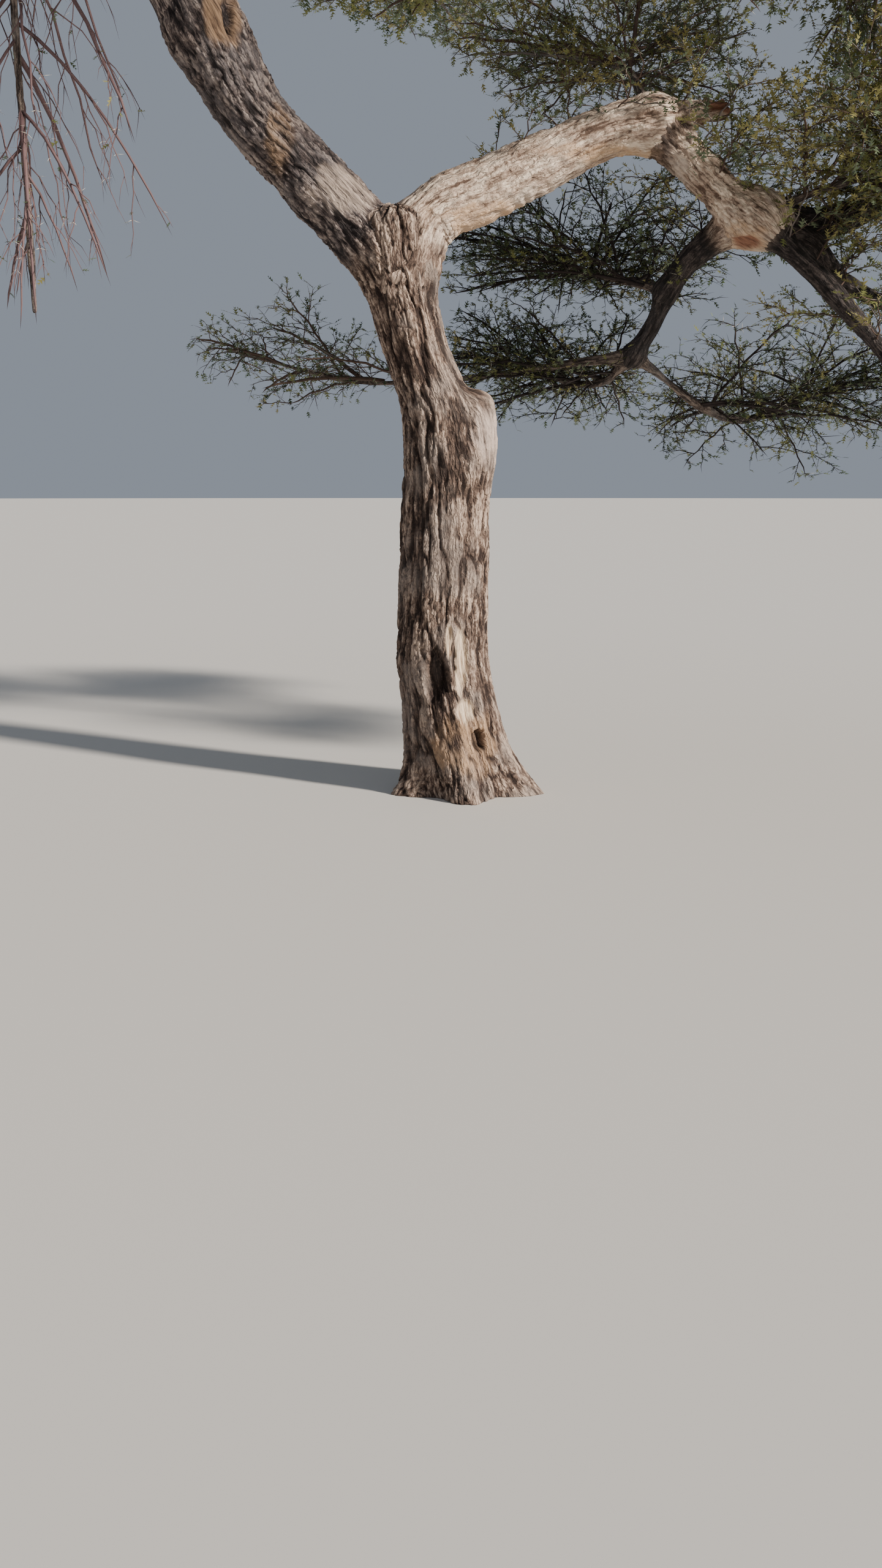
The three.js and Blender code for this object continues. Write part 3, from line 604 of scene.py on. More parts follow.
# One limb's skin as a grid of rows and columns, closed by a pole at each end
def limbSkin(name, kind, rowStep, columns, seed):
    if name == "trunk":
        top, topRadius = trunkShape["line"][-1][0], trunkShape["line"][-1][3]
        rise = np.linspace(0, math.pi / 2, round(topRadius / rowStep))[1:-1]
        heights = np.append(np.linspace(0, top, round(top / rowStep) + 1), np.full(len(rise), top))
        rise = np.append(np.zeros(len(heights) - len(rise)), rise)[:, None, None]
        x, y, radius = trunkAt(heights)
        origin = np.stack([x, y, heights], axis=1)
        angle = np.linspace(0, 2 * math.pi, columns, endpoint=False)
        level = np.stack([np.cos(angle), np.sin(angle), 0 * angle], axis=1)
        direction = np.cos(rise) * level[None] + np.sin(rise) * up
        run = heights + topRadius * np.sin(rise[:, 0, 0])
        limit = skinSearch["trunkReach"]
        poles = ((origin[-1], up),)
    else:
        limb = limbs[name]
        ends = (limb["radii"][0], limb["radii"][-1])
        origin, direction, run, poles = skinRays(limb["path"], limb["length"], ends, rowStep, columns)
        limit = skinSearch["limbReach"] * max(limb["radii"])
    rows = len(origin)
    origins = np.repeat(origin, columns, axis=0)
    directions = direction.reshape(-1, 3)
    out = raysOut(name, origins, directions, limit)
    places = origins + directions * out[:, None]
    meanOut = np.pad(out.reshape(rows, columns).mean(1), evenRows, "edge")
    evenOut = np.convolve(meanOut, np.ones(2 * evenRows + 1) / (2 * evenRows + 1), "valid")
    angle = np.tile(np.linspace(0, 2 * math.pi, columns, endpoint=False), rows)
    wide = np.repeat(evenOut, columns)
    grain = np.stack([wide * np.cos(angle), wide * np.sin(angle), np.repeat(run, columns)], axis=1)
    grain = grain + 3.0 * seed  # each skin reads its own part of the noise
    height, attributes = barkRelief(grain, places, kind, seed)
    places = places + directions * height[:, None]
    ends = [origin[0]] if name == "trunk" else []
    for start, way in poles:
        ends.append(start + way * raysOut(name, start[None], way[None], limit)[0])
    points = np.vstack([places, ends])
    startRadius = limbs[name]["radii"][0] if name in limbs else 0
    attributes["own"] = smoothStep(startRadius, startRadius + ownAfter, np.repeat(run, columns))
    attributes = {label: np.append(values, [values[0], values[-1]]) for label, values in attributes.items()}
    attributes["grain"] = np.vstack([grain, grain[0], grain[-1]])
    index, after, quads = closedGrid(rows, columns)
    first, last = rows * columns, rows * columns + 1
    foot = np.stack([after[0], index[0], np.full(columns, first)], axis=1)
    head = np.stack([index[-1], after[-1], np.full(columns, last)], axis=1)
    return points, quads, np.vstack([foot, head]), attributes


# One piece from the skins of a limb and of what is fused to it, or of several stems
def makeBark(pieceName, nodes, skins, material):
    points, quads, triangles, attributes = [], [], [], []
    count = 0
    for skin in skins:
        places, four, three, values = limbSkin(*skin)
        points.append(places)
        quads.append(four + count)
        triangles.append(three + count)
        attributes.append(values)
        count += len(places)
    joined = {label: np.concatenate([each[label] for each in attributes]) for label in attributes[0]}
    faces = [np.concatenate(quads), np.concatenate(triangles)]
    makePiece(pieceName, np.concatenate(points), faces, [material], nodes, joined)


# Materials

# A colour from its red, green and blue as a painter's program shows them, 0 to 255
def tint(red, green, blue):
    shown = np.array([red, green, blue]) / 255
    linear = np.where(shown <= 0.04045, shown / 12.92, ((shown + 0.055) / 1.055) ** 2.4)
    return (*(float(each) for each in linear), 1.0)


# Another node's output or a plain value, given to a socket
def feed(tree, socket, value):
    if isinstance(value, bpy.types.NodeSocket):
        tree.links.new(value, socket)
    else:
        socket.default_value = value


def addNode(tree, kind, **inputs):
    node = tree.nodes.new(kind)
    for label, value in inputs.items():
        feed(tree, node.inputs[label], value)
    return node


def addMix(tree, share, one, other):
    node = tree.nodes.new("ShaderNodeMix")
    node.data_type = "RGBA"
    for number, value in ((0, share), (6, one), (7, other)):
        feed(tree, node.inputs[number], value)
    return node.outputs[2]


def addPair(tree, kind, operation, one, other):
    node = tree.nodes.new(kind)
    node.operation = operation
    feed(tree, node.inputs[0], one)
    feed(tree, node.inputs[1], other)
    return node


def addMath(tree, operation, one, other, clamp=False):
    node = addPair(tree, "ShaderNodeMath", operation, one, other)
    node.use_clamp = clamp
    return node.outputs[0]


def addVector(tree, operation, one, other):
    return addPair(tree, "ShaderNodeVectorMath", operation, one, other).outputs[0]


def addNoise(tree, place, scale, detail, roughness, output="Fac"):
    values = {"Vector": place, "Scale": scale, "Detail": detail, "Roughness": roughness}
    return addNode(tree, "ShaderNodeTexNoise", **values).outputs[output]


# 0 below a value, 1 above another, and eased between
def addRange(tree, value, low, high):
    node = tree.nodes.new("ShaderNodeMapRange")
    node.interpolation_type = "SMOOTHSTEP"
    tree.links.new(value, node.inputs["Value"])
    node.inputs["From Min"].default_value = low
    node.inputs["From Max"].default_value = high
    return node.outputs[0]


# A ramp through colours, each at its place
def addRamp(tree, share, stops):
    stops = list(stops)
    node = tree.nodes.new("ShaderNodeValToRGB")
    tree.links.new(share, node.inputs[0])
    while len(node.color_ramp.elements) < len(stops):
        node.color_ramp.elements.new(0.5)
    for element, (place, colour) in zip(node.color_ramp.elements, stops):
        element.position = place
        element.color = colour
    return node.outputs[0]


def readAttribute(tree, label, output="Fac"):
    node = tree.nodes.new("ShaderNodeAttribute")
    node.attribute_name = label
    return node.outputs[output]


# A noise here has its scale where that isn't each look's own, its detail and its roughness
barkGrain = {
    "stretch": (1, 1, 0.1),  # fibres are ten times as long as wide
    "fibre": (5.0, 0.66), "fleck": (4.0, 0.7), "patch": (3.2, 3.0, 0.6), "wander": (28.0, 2.0, 0.5),
    "wanderReach": (0.03, 0.03, 0.06), "flakeEdge": 0.3, "flakeBase": 0.4,
    "fibreHeight": 0.95, "fleckHeight": 0.4, "flakeHeight": 0.36,
}


# The grain that every bark shares: fibres stretched along the limb, flecks, wide patches, and small flakes
# with cracks between them, each with a tone of its own, and the fine height of them all
def makeGrainGroup():
    group = bpy.data.node_groups.new("barkGrain", "ShaderNodeTree")
    group.interface.new_socket("Grain", in_out="INPUT", socket_type="NodeSocketVector")
    for label in ("Fibre Scale", "Fleck Scale", "Flake Width", "Flake Length"):
        group.interface.new_socket(label, in_out="INPUT", socket_type="NodeSocketFloat")
    for label in ("Fibre", "Fleck", "Patch", "Flake", "Flake Tone", "Height"):
        group.interface.new_socket(label, in_out="OUTPUT", socket_type="NodeSocketFloat")
    given = group.nodes.new("NodeGroupInput")
    made = group.nodes.new("NodeGroupOutput")
    place = given.outputs["Grain"]
    drawnOut = addVector(group, "MULTIPLY", place, barkGrain["stretch"])
    fibre = addNoise(group, drawnOut, given.outputs["Fibre Scale"], *barkGrain["fibre"])
    fleck = addNoise(group, place, given.outputs["Fleck Scale"], *barkGrain["fleck"])
    patch = addNoise(group, place, *barkGrain["patch"])
    wander = addNoise(group, place, *barkGrain["wander"], "Color")
    wander = addVector(group, "SUBTRACT", wander, (0.5, 0.5, 0.5))
    wander = addVector(group, "MULTIPLY", wander, barkGrain["wanderReach"])
    width, length = given.outputs["Flake Width"], given.outputs["Flake Length"]
    size = addNode(group, "ShaderNodeCombineXYZ", X=width, Y=width, Z=length).outputs[0]
    cell = addVector(group, "DIVIDE", addVector(group, "ADD", place, wander), size)
    edge = group.nodes.new("ShaderNodeTexVoronoi")
    edge.feature = "DISTANCE_TO_EDGE"
    middle = group.nodes.new("ShaderNodeTexVoronoi")
    for flakes in (edge, middle):
        flakes.inputs["Scale"].default_value = 1.0
        group.links.new(cell, flakes.inputs["Vector"])
    flake = addRange(group, edge.outputs["Distance"], 0.0, barkGrain["flakeEdge"])
    flakeTone = addNode(group, "ShaderNodeSeparateColor", Color=middle.outputs["Color"]).outputs[0]
    raised = addMath(group, "MULTIPLY", flake, addMath(group, "ADD", barkGrain["flakeBase"], flakeTone))
    height = addMath(group, "MULTIPLY", fibre, barkGrain["fibreHeight"])
    for socket, label in ((fleck, "fleckHeight"), (raised, "flakeHeight")):
        height = addMath(group, "ADD", height, addMath(group, "MULTIPLY", socket, barkGrain[label]))
    for socket, output in zip((fibre, fleck, patch, flake, flakeTone, height), made.inputs):
        group.links.new(socket, output)
    return group


grainGroup = makeGrainGroup()
# Colours, how dark the mesh's furrows show, the scales of fibres and flecks, the size of the flakes in
# metres, how deep the fine height goes, and how strongly the fibres' own light and dark shows
barkLooks = {
    "trunkBark": {
        "crack": tint(44, 32, 27), "body": tint(108, 89, 78), "ridge": tint(192, 169, 151),
        "weathered": tint(138, 127, 120), "warm": tint(176, 142, 110), "bare": tint(230, 208, 180),
        "bareDark": tint(134, 104, 80), "paleAndSunlit": tint(202, 182, 170),
        "furrow": 1.0, "fibre": 60.0, "fleck": 48.0,
        "flake": (0.017, 0.1), "bumpHeight": 0.016, "contrast": 1.9,
    },
    # Partly painted shade: body and ridge are darkened for the bough's shaded mid and upper part, and its
    # pale tint is painted sunlight
    "leftBoughBark": {
        "crack": tint(34, 28, 28), "body": tint(92, 80, 77), "ridge": tint(176, 160, 150),
        "weathered": tint(110, 104, 104), "warm": tint(138, 112, 88), "bare": tint(156, 128, 102),
        "bareDark": tint(68, 50, 42), "paleAndSunlit": tint(190, 171, 156),
        "furrow": 1.0, "fibre": 60.0, "fleck": 50.0,
        "flake": (0.02, 0.07), "bumpHeight": 0.018, "contrast": 1.9,
    },
    # Partly painted sunlight: the bough's own paler colours, raised further to stand in for the sun on it
    "rightBoughBark": {
        "crack": tint(98, 78, 66), "body": tint(180, 157, 139), "ridge": tint(236, 217, 196),
        "weathered": tint(202, 188, 176), "warm": tint(202, 166, 130), "bare": tint(150, 108, 86),
        "bareDark": tint(96, 62, 50), "paleAndSunlit": tint(206, 188, 174),
        "furrow": 0.55, "fibre": 55.0, "fleck": 46.0,
        "flake": (0.018, 0.12), "bumpHeight": 0.011, "contrast": 1.3,
    },
    # Painted shade: a darker copy of the limb bark for the limbs under the outer bough, which hang in its
    # shade
    "shadedLimbBark": {
        "crack": tint(22, 19, 18), "body": tint(44, 38, 37), "ridge": tint(88, 79, 75),
        "weathered": tint(62, 59, 60), "warm": tint(84, 66, 54), "bare": tint(150, 120, 98),
        "bareDark": tint(70, 50, 42), "paleAndSunlit": tint(120, 108, 100),
        "furrow": 0.7, "fibre": 75.0, "fleck": 60.0,
        "flake": (0.012, 0.06), "bumpHeight": 0.008, "contrast": 1.9,
    },
    "limbBark": {
        "crack": tint(38, 32, 31), "body": tint(86, 75, 69), "ridge": tint(142, 128, 117),
        "weathered": tint(102, 98, 97), "warm": tint(128, 100, 76), "bare": tint(180, 150, 120),
        "bareDark": tint(96, 70, 56), "paleAndSunlit": tint(160, 145, 132),
        "furrow": 0.6, "fibre": 75.0, "fleck": 60.0,
        "flake": (0.012, 0.06), "bumpHeight": 0.007, "contrast": 1.9,
    },
}


# How a bark's colour comes together: its level without flakes and what each part adds to it, the levels of
# crack, body and ridge, where weathered patches lie, and how warm, light-coloured and bare places show, the
# light-coloured ones being partly painted sunlight
barkBlend = {
    "base": 0.4, "flake": 0.22, "fleck": 0.7, "flakeTone": 0.3, "tone": 0.26, "levels": (0.04, 0.34, 0.74),
    "patch": (0.46, 0.62), "weathered": 0.6, "heatBase": 0.25, "paleFrom": (0.3, 0.6), "paleAndSunlit": 0.7,
    "wood": (0.36, 0.58), "rough": 0.72, "roughFleck": 0.3, "paleSmooth": 0.5, "specular": 0.3,
}


# Bark: dark in the cracks and paler on the ridges, by the mesh's own relief and the grain's flakes, broken
# by fibres, flecks and weathered patches, with warm, light-coloured and bare places where the mesh says so.
# The relief also carries the painted shade of the hollow marks, and the light-coloured places are partly
# painted sunlight. At its foot a limb has its carrier's colours.
def makeBarkMaterial(name, lookName, carrierLook=None):
    look = barkLooks[lookName]
    material = bpy.data.materials.new(name)
    material.use_nodes = True
    tree = material.node_tree
    shader = tree.nodes["Principled BSDF"]
    grain = addNode(tree, "ShaderNodeGroup")
    grain.node_tree = grainGroup
    tree.links.new(readAttribute(tree, "grain", "Vector"), grain.inputs["Grain"])
    grain.inputs["Fibre Scale"].default_value = look["fibre"]
    grain.inputs["Fleck Scale"].default_value = look["fleck"]
    grain.inputs["Flake Width"].default_value, grain.inputs["Flake Length"].default_value = look["flake"]
    relief, bare = readAttribute(tree, "relief"), readAttribute(tree, "bare")
    labels = ("Fibre", "Fleck", "Patch", "Flake", "Flake Tone")
    fibre, fleck, patch, flake, flakeTone = (grain.outputs[label] for label in labels)
    furrow = addMath(tree, "MULTIPLY", addMath(tree, "SUBTRACT", 1.0, relief), look["furrow"])
    level = addMath(tree, "ADD", barkBlend["base"], addMath(tree, "MULTIPLY", flake, barkBlend["flake"]))
    level = addMath(tree, "MULTIPLY", addMath(tree, "SUBTRACT", 1.0, furrow), level)
    parts = ((fibre, look["contrast"]), (fleck, barkBlend["fleck"]), (flakeTone, barkBlend["flakeTone"]),
             (readAttribute(tree, "tone"), barkBlend["tone"]))
    for socket, strength in parts:
        centred = addMath(tree, "SUBTRACT", socket, 0.5)
        level = addMath(tree, "ADD", level, addMath(tree, "MULTIPLY", centred, strength))
    worn = addMath(tree, "MULTIPLY", relief, barkBlend["weathered"])
    worn = addMath(tree, "MULTIPLY", addRange(tree, patch, *barkBlend["patch"]), worn)
    colour = None
    for shown in (barkLooks.get(carrierLook), look):
        if shown:
            colours = [shown[label] for label in ("crack", "body", "ridge")]
            plain = addRamp(tree, level, zip(barkBlend["levels"], colours))
            plain = addMix(tree, worn, plain, shown["weathered"])
            colour = addMix(tree, readAttribute(tree, "own"), colour, plain) if colour else plain
    heat = addMath(tree, "ADD", fleck, barkBlend["heatBase"])
    heat = addMath(tree, "MULTIPLY", readAttribute(tree, "warm"), heat, clamp=True)
    colour = addMix(tree, addMath(tree, "MULTIPLY", heat, relief), colour, look["warm"])
    # The pale places: the healed stump's own colour, and painted sunlight on the left bough
    paleAndSunlitShare = addRange(tree, fibre, *barkBlend["paleFrom"])
    paleAndSunlitShare = addMath(tree, "MULTIPLY", readAttribute(tree, "paleAndSunlit"), paleAndSunlitShare)
    colour = addMix(tree, addMath(tree, "MULTIPLY", paleAndSunlitShare, barkBlend["paleAndSunlit"]), colour, look["paleAndSunlit"])
    wood = addRamp(tree, fibre, zip(barkBlend["wood"], (look["bareDark"], look["bare"])))
    colour = addMix(tree, bare, colour, wood)
    tree.links.new(colour, shader.inputs["Base Color"])
    rough = addMath(tree, "MULTIPLY", fleck, barkBlend["roughFleck"])
    tree.links.new(addMath(tree, "ADD", barkBlend["rough"], rough, clamp=True), shader.inputs["Roughness"])
    smooth = addMath(tree, "MULTIPLY", readAttribute(tree, "paleAndSunlit"), barkBlend["paleSmooth"])
    smooth = addMath(tree, "MAXIMUM", bare, smooth)
    rugged = addMath(tree, "MULTIPLY", grain.outputs["Height"], addMath(tree, "SUBTRACT", 1.0, smooth))
    height = addMath(tree, "ADD", rugged, addMath(tree, "MULTIPLY", fibre, smooth))
    bump = addNode(tree, "ShaderNodeBump", Strength=1.0, Distance=look["bumpHeight"], Height=height)
    tree.links.new(bump.outputs[0], shader.inputs["Normal"])
    shader.inputs["Specular IOR Level"].default_value = barkBlend["specular"]
    return material


barkMaterials = {  # its own look, and its carrier's where it grows out of a differently coloured one
    "trunkBark": ("trunkBark", None),
    "leftBoughBark": ("leftBoughBark", "trunkBark"),
    "rightBoughBark": ("rightBoughBark", "trunkBark"),
    "leftLimbBark": ("limbBark", "leftBoughBark"),
    # The limbs off the outer bough and the one below limb_under take the painted-shade copy of the limb
    # bark
    "rightShadedLimbBark": ("shadedLimbBark", "rightBoughBark"),
    "underShadedLimbBark": ("shadedLimbBark", None),
    "upperLimbBark": ("limbBark", None),
}
barks = {name: makeBarkMaterial(name, *looks) for name, looks in barkMaterials.items()}

# The great skins: each node's material, and its skins' limbs, kinds of bark, row steps, columns and seeds.
# The trunk's skin takes in the healed stump.
greatSkins = {
    "trunk": ("trunkBark", [("trunk", "furrowed", trunkShape["rowStep"], trunkShape["columns"], 1)]),
    "bough_left": ("leftBoughBark", [("bough_left", "scaly", 0.0075, 144, 3)]),
    "bough_right": ("rightBoughBark", [
        ("bough_right", "wrinkled", 0.0072, 128, 4), ("dead_stub", "scaly", 0.009, 56, 5),
    ]),
    "bough_right_outer": ("rightBoughBark", [("bough_right_outer", "scaly", 0.0072, 112, 6)]),
}
limbGrids = {  # row step and columns
    "limb_left": (0.011, 72), "limb_top": (0.011, 72), "limb_right_up": (0.012, 56),
    "umbrella": (0.022, 24), "centre": (0.022, 24), "limb": (0.012, 44),
}
stemGrid = (0.022, 14)
limbBarks = {  # by the limb's carrier
    "bough_left": "leftLimbBark", "bough_right_outer": "rightShadedLimbBark", "limb_under": "underShadedLimbBark",
}
for nodeName, (bark, skins) in greatSkins.items():
    makeBark(f"{nodeName}_bark", [nodeName], skins, barks[bark])
for seed, limbName in enumerate(limbNames, 10):
    if limbName in ("stump", "dead_stub", *greatSkins):
        continue
    grid = next(values for start, values in limbGrids.items() if limbName.startswith(start))
    bark = barks[limbBarks.get(limbs[limbName]["carrier"], "upperLimbBark")]
    makeBark(f"{limbName}_bark", [limbName], [(limbName, "young", *grid, seed)], bark)
stemSkins = [(massName, "young", *stemGrid, seed) for seed, massName in enumerate(massNames, 40)]
makeBark("stems_bark", massNames, stemSkins, barks["upperLimbBark"])
print("bark skins made")


# Foliage: each mass has the source's stem and main twigs, carried on to side twigs, shoots and leaves

crossLayer = 2.4  # how much more height counts than breadth where masses share the space between them
clearance = 0.008  # metres between the spaces of two masses
twigSpace = np.array([1.06, 1.06, 1.05])  # the fine twigs' space against that of their mass's own solids
ballStep = 0.05  # metres between the balls that stand for a limb
collarGap = 0.024  # a stem bears no twigs where it is nearer than this to its carrier or a sibling
woodGap = 0.012  # how far twigs keep from the limbs and the trunk
# Each level's shares of its parent to grow from, angle from it, how far round it instead of sideways, how
# freely it rises, its lift and arch, its longest and shortest, how even lengths are, how they shrink along
# the parent and against its length, how much of its room it fills and the steps that room is measured in,
# its points, bends, radii and sides, and how its mass's droop tells on it
twigRules = {
    "main": {
        "between": (0.2, 0.98), "open": (0.75, 1.2), "spread": 1, "level": 0.35, "levelHanging": 0.8,
        "lift": 0.08, "arch": 0.07, "longest": 0.95, "shortest": 0.32, "even": 1, "taper": 0,
        "ofParent": 9, "fill": 0.94, "roomStep": 0.04, "points": 9, "zigzag": 0.008,
        "radii": (0.015, 0.006), "sides": 5, "droop": 0.5,
    },
    "branch": {
        "between": (0.0, 1.0), "open": (0.8, 1.6), "spread": 0.4, "level": 0.9, "levelHanging": 0.8,
        "lift": 0.08, "arch": 0.09, "longest": 1.1, "shortest": 0.14, "even": 0.7, "taper": 0,
        "ofParent": 9, "fill": 0.96, "roomStep": 0.04, "points": 8, "zigzag": 0.014,
        "radii": (0.01, 0.0045), "sides": 4, "droop": 0.5,
    },
    "side": {
        "between": (0.06, 0.97), "open": (0.6, 1.25), "spread": 0.7, "level": 0.65, "levelHanging": 0.75,
        "lift": 0.07, "arch": 0.09, "longest": 0.52, "shortest": 0.07, "even": 0.45, "taper": 0.4,
        "ofParent": 0.62, "fill": 0.96, "roomStep": 0.035, "points": 6, "zigzag": 0.03,
        "radii": (0.0048, 0.0024), "sides": 3, "droop": 0.45,
    },
    "shoot": {
        "between": (0.1, 1.0), "open": (0.5, 1.1), "spread": 0.9, "level": 0.75, "levelHanging": 0.8,
        "lift": 0.05, "arch": 0.08, "longest": 0.22, "shortest": 0.04, "even": 0.45, "taper": 0.4,
        "ofParent": 0.62, "fill": 0.97, "roomStep": 0.03, "points": 3, "zigzag": 0.05,
        "radii": (0.0026, 0.0012), "sides": 3, "droop": 0.4,
    },
    "bough": {
        "between": (0.08, 1.0), "open": (1.1, 1.6), "spread": 1, "level": 1, "levelHanging": 1,
        "lift": 0.9, "arch": 0.07, "longest": 0.52, "shortest": 0.3, "even": 0.5, "taper": 0, "ofParent": 9,
        "fill": 1, "roomStep": 0.1, "points": 8, "zigzag": 0.03, "radii": (0.006, 0.0025), "sides": 4,
        "droop": 0.3,
    },
}
# Shoots that grow on the boughs themselves: the mass that they look like, and their spacing
boughShoots = {
    "bough_left": ("far_left_mass", 0.45), "bough_right": ("bend_mass", 0.15),
    "bough_right_outer": ("right_mass", 0.06), "limb_right_low": ("right_low_mass", 0.09),
    "limb_right_mid": ("right_far_mass", 0.09), "limb_under": ("arch_mass", 0.07),
}
mainsPerMass = 6
# How masses differ: how far twigs reach past the mass's own space, how many branches a stem bears, the
# spacing of side twigs, shoots and leaves, the leaf's length, the share of leaf places that bear one, how
# far twigs droop and turn down, how the four leaf tints are shared out, and the place of the twigs' tint in
# its list, or -1 where it is brown or grey by chance
crownStyle = {
    "reach": (1, 1, 1), "branches": 16, "side": 0.08, "shoot": 0.064, "leaf": 0.038, "size": 0.078,
    "leafy": 0.92, "droop": 0, "fall": 0, "mix": (4, 3, 2, 1), "twigTint": -1,
}
# The masses in shade under the boughs: their dark twig tint and their larger share of dark leaves are
# painted shade
shadeStyle = {
    "reach": (1.15, 1.1, 1.5), "branches": 30, "side": 0.07, "shoot": 0.056, "leaf": 0.031, "size": 0.044,
    "leafy": 0.6, "droop": 0.1, "fall": 0, "mix": (3, 4, 1, 3), "twigTint": 3,
}
massStyles = {
    "outer": crownStyle,
    "inner": crownStyle,
    "top": crownStyle,
    "bend": {
        **crownStyle, "reach": (1.1, 1.1, 1.1), "branches": 22, "side": 0.07, "shoot": 0.055, "leaf": 0.027,
        "size": 0.044, "leafy": 0.85,
    },
    "right_mass": {
        **crownStyle, "reach": (1.2, 1.15, 1.3), "branches": 30, "side": 0.06, "shoot": 0.048,
        "leaf": 0.028, "size": 0.05, "leafy": 0.95, "mix": (2, 2, 6, 0),
    },
    "right": {
        **crownStyle, "reach": (1.06, 1.06, 1.2), "branches": 20, "leaf": 0.036, "size": 0.058,
        "mix": (3, 3, 3, 1),
    },
    "arch": shadeStyle,
    "back": shadeStyle,
    "far": {**shadeStyle, "reach": (0.96, 1, 1.15), "branches": 14, "leafy": 0.5, "twigTint": -1},
    "under": shadeStyle,
    "hanging_left": {
        **shadeStyle, "reach": (1.3, 1.2, 1), "branches": 18, "side": 0.14, "shoot": 0.12, "leaf": 0.05,
        "leafy": 0.12, "droop": 0.8, "fall": 0.75, "twigTint": 2,
    },
    "hanging": {
        **crownStyle, "reach": (1.4, 1.35, 1.15), "branches": 26, "side": 0.07, "shoot": 0.055,
        "leaf": 0.026, "size": 0.052, "droop": 0.6, "fall": 0.6, "mix": (4, 3, 3, 1),
    },
}


# The style whose label a mass's name starts with
def findStyle(name):
    return next(style for start, style in massStyles.items() if name.startswith(start))


styleOf = [findStyle(name) for name in massNames]


# One value of every mass's style
def massValue(label):
    return np.array([style[label] for style in styleOf])


# Distance with height counted more
def layered(offset):
    return np.linalg.norm(offset * (1, 1, crossLayer), axis=-1)


massApart = layered(massMiddles[:, None] - massMiddles[None])
massReach = massSizes * twigSpace * massValue("reach")


# True where a place is in its mass's own space: inside its ellipsoid and nearer to it than to any other
def inSpace(mass, places):
    offset = places - massMiddles[mass]
    inside = ((offset / massReach[mass]) ** 2).sum(axis=1) <= 1
    toOthers = layered(places[:, None] - massMiddles[None])
    free = toOthers**2 - layered(offset)[:, None] ** 2 > 2 * clearance * crossLayer * massApart[mass]
    free |= np.arange(len(massNames)) == mass[:, None]
    return inside & free.all(axis=1)


# How far each twig can run in its mass's space, up to its longest, in even steps
def roomAlong(mass, base, direction, longest, step):
    room = np.zeros(len(base))
    still = np.ones(len(base), bool)
    for _ in range(math.ceil(longest.max() / step)):
        still &= (room < longest) & inSpace(mass, base + direction * (room + step)[:, None])
        room += step * still
    return room


# A limb or stem as balls along it
def ballsOf(branch):
    count = math.ceil(branch["length"] / ballStep)
    shares = np.arange(count + 1) / count
    return alongPath(branch["path"], shares), radiusAt(branch["radii"], shares)


# How much of a stem, as a share, lies against its carrier or a sibling
def collarShare(name):
    own = branches[name]
    places, radii = ballsOf(own)
    lastNear = -1
    for otherName, other in branches.items():
        if otherName != name and (otherName == own["carrier"] or other["carrier"] == own["carrier"]):
            otherPlaces, otherRadii = ballsOf(other)
            away = np.linalg.norm(places[:, None] - otherPlaces[None], axis=-1)
            near = np.flatnonzero((away - radii[:, None] - otherRadii[None] < collarGap).any(axis=1))
            lastNear = max(lastNear, near.max() if len(near) else -1)
    return (lastNear + 1) / (len(places) - 1)


# The burl counts as a very short branch
burlLength = 1e-4
burlMiddle = np.array(burl["centre"], float)
branches = {**limbs, "burl": {
    "carrier": burl["carrier"], "path": np.array([burlMiddle, burlMiddle + up * burlLength]),
    "radii": (burl["radius"], burl["radius"]), "length": burlLength,
}}


# Points and directions at shares of many paths at once
def readPaths(paths, shares):
    place = np.clip(shares, 0, 1) * (paths.shape[1] - 1)
    k = np.minimum(place.astype(int), paths.shape[1] - 2)
    row = np.arange(len(paths))
    start, end = paths[row, k], paths[row, k + 1]
    return start + (end - start) * (place - k)[:, None], unit(end - start)


# Two directions square to each given one
def squareTo(direction):
    pick = np.where(np.abs(direction[:, 2:]) < 0.9, up, np.array([1.0, 0, 0]))
    across = unit(np.cross(direction, pick))
    return across, np.cross(direction, across)


# All the limbs and the trunk as balls
limbBalls = [ballsOf(limbs[name]) for name in limbNames]
trunkHeights = np.arange(0, trunkShape["line"][-1][0], ballStep)
trunkX, trunkY, trunkRadius = trunkAt(trunkHeights)
limbBalls.append((np.stack([trunkX, trunkY, trunkHeights], axis=1), trunkRadius))
ballPlaces, ballRadii = (np.concatenate(each) for each in zip(*limbBalls))
placesAtOnce = 8000


# True where a place lies inside a limb or the trunk
def inWood(places):
    hit = np.zeros(len(places), bool)
    for start in range(0, len(places), placesAtOnce):
        part = places[start:start + placesAtOnce]
        away = np.linalg.norm(part[:, None] - ballPlaces[None], axis=-1)
        hit[start:start + placesAtOnce] = (away < ballRadii + woodGap).any(axis=1)
    return hit


# Each child's parent and its own order on it, and its parent's mass and key, from the parents' counts
def childrenOf(parents, count):
    which = np.repeat(np.arange(len(count)), count)
    order = np.arange(len(which)) - np.repeat(np.cumsum(count) - count, count)
    return which, order, parents["mass"][which], parents["key"][which]


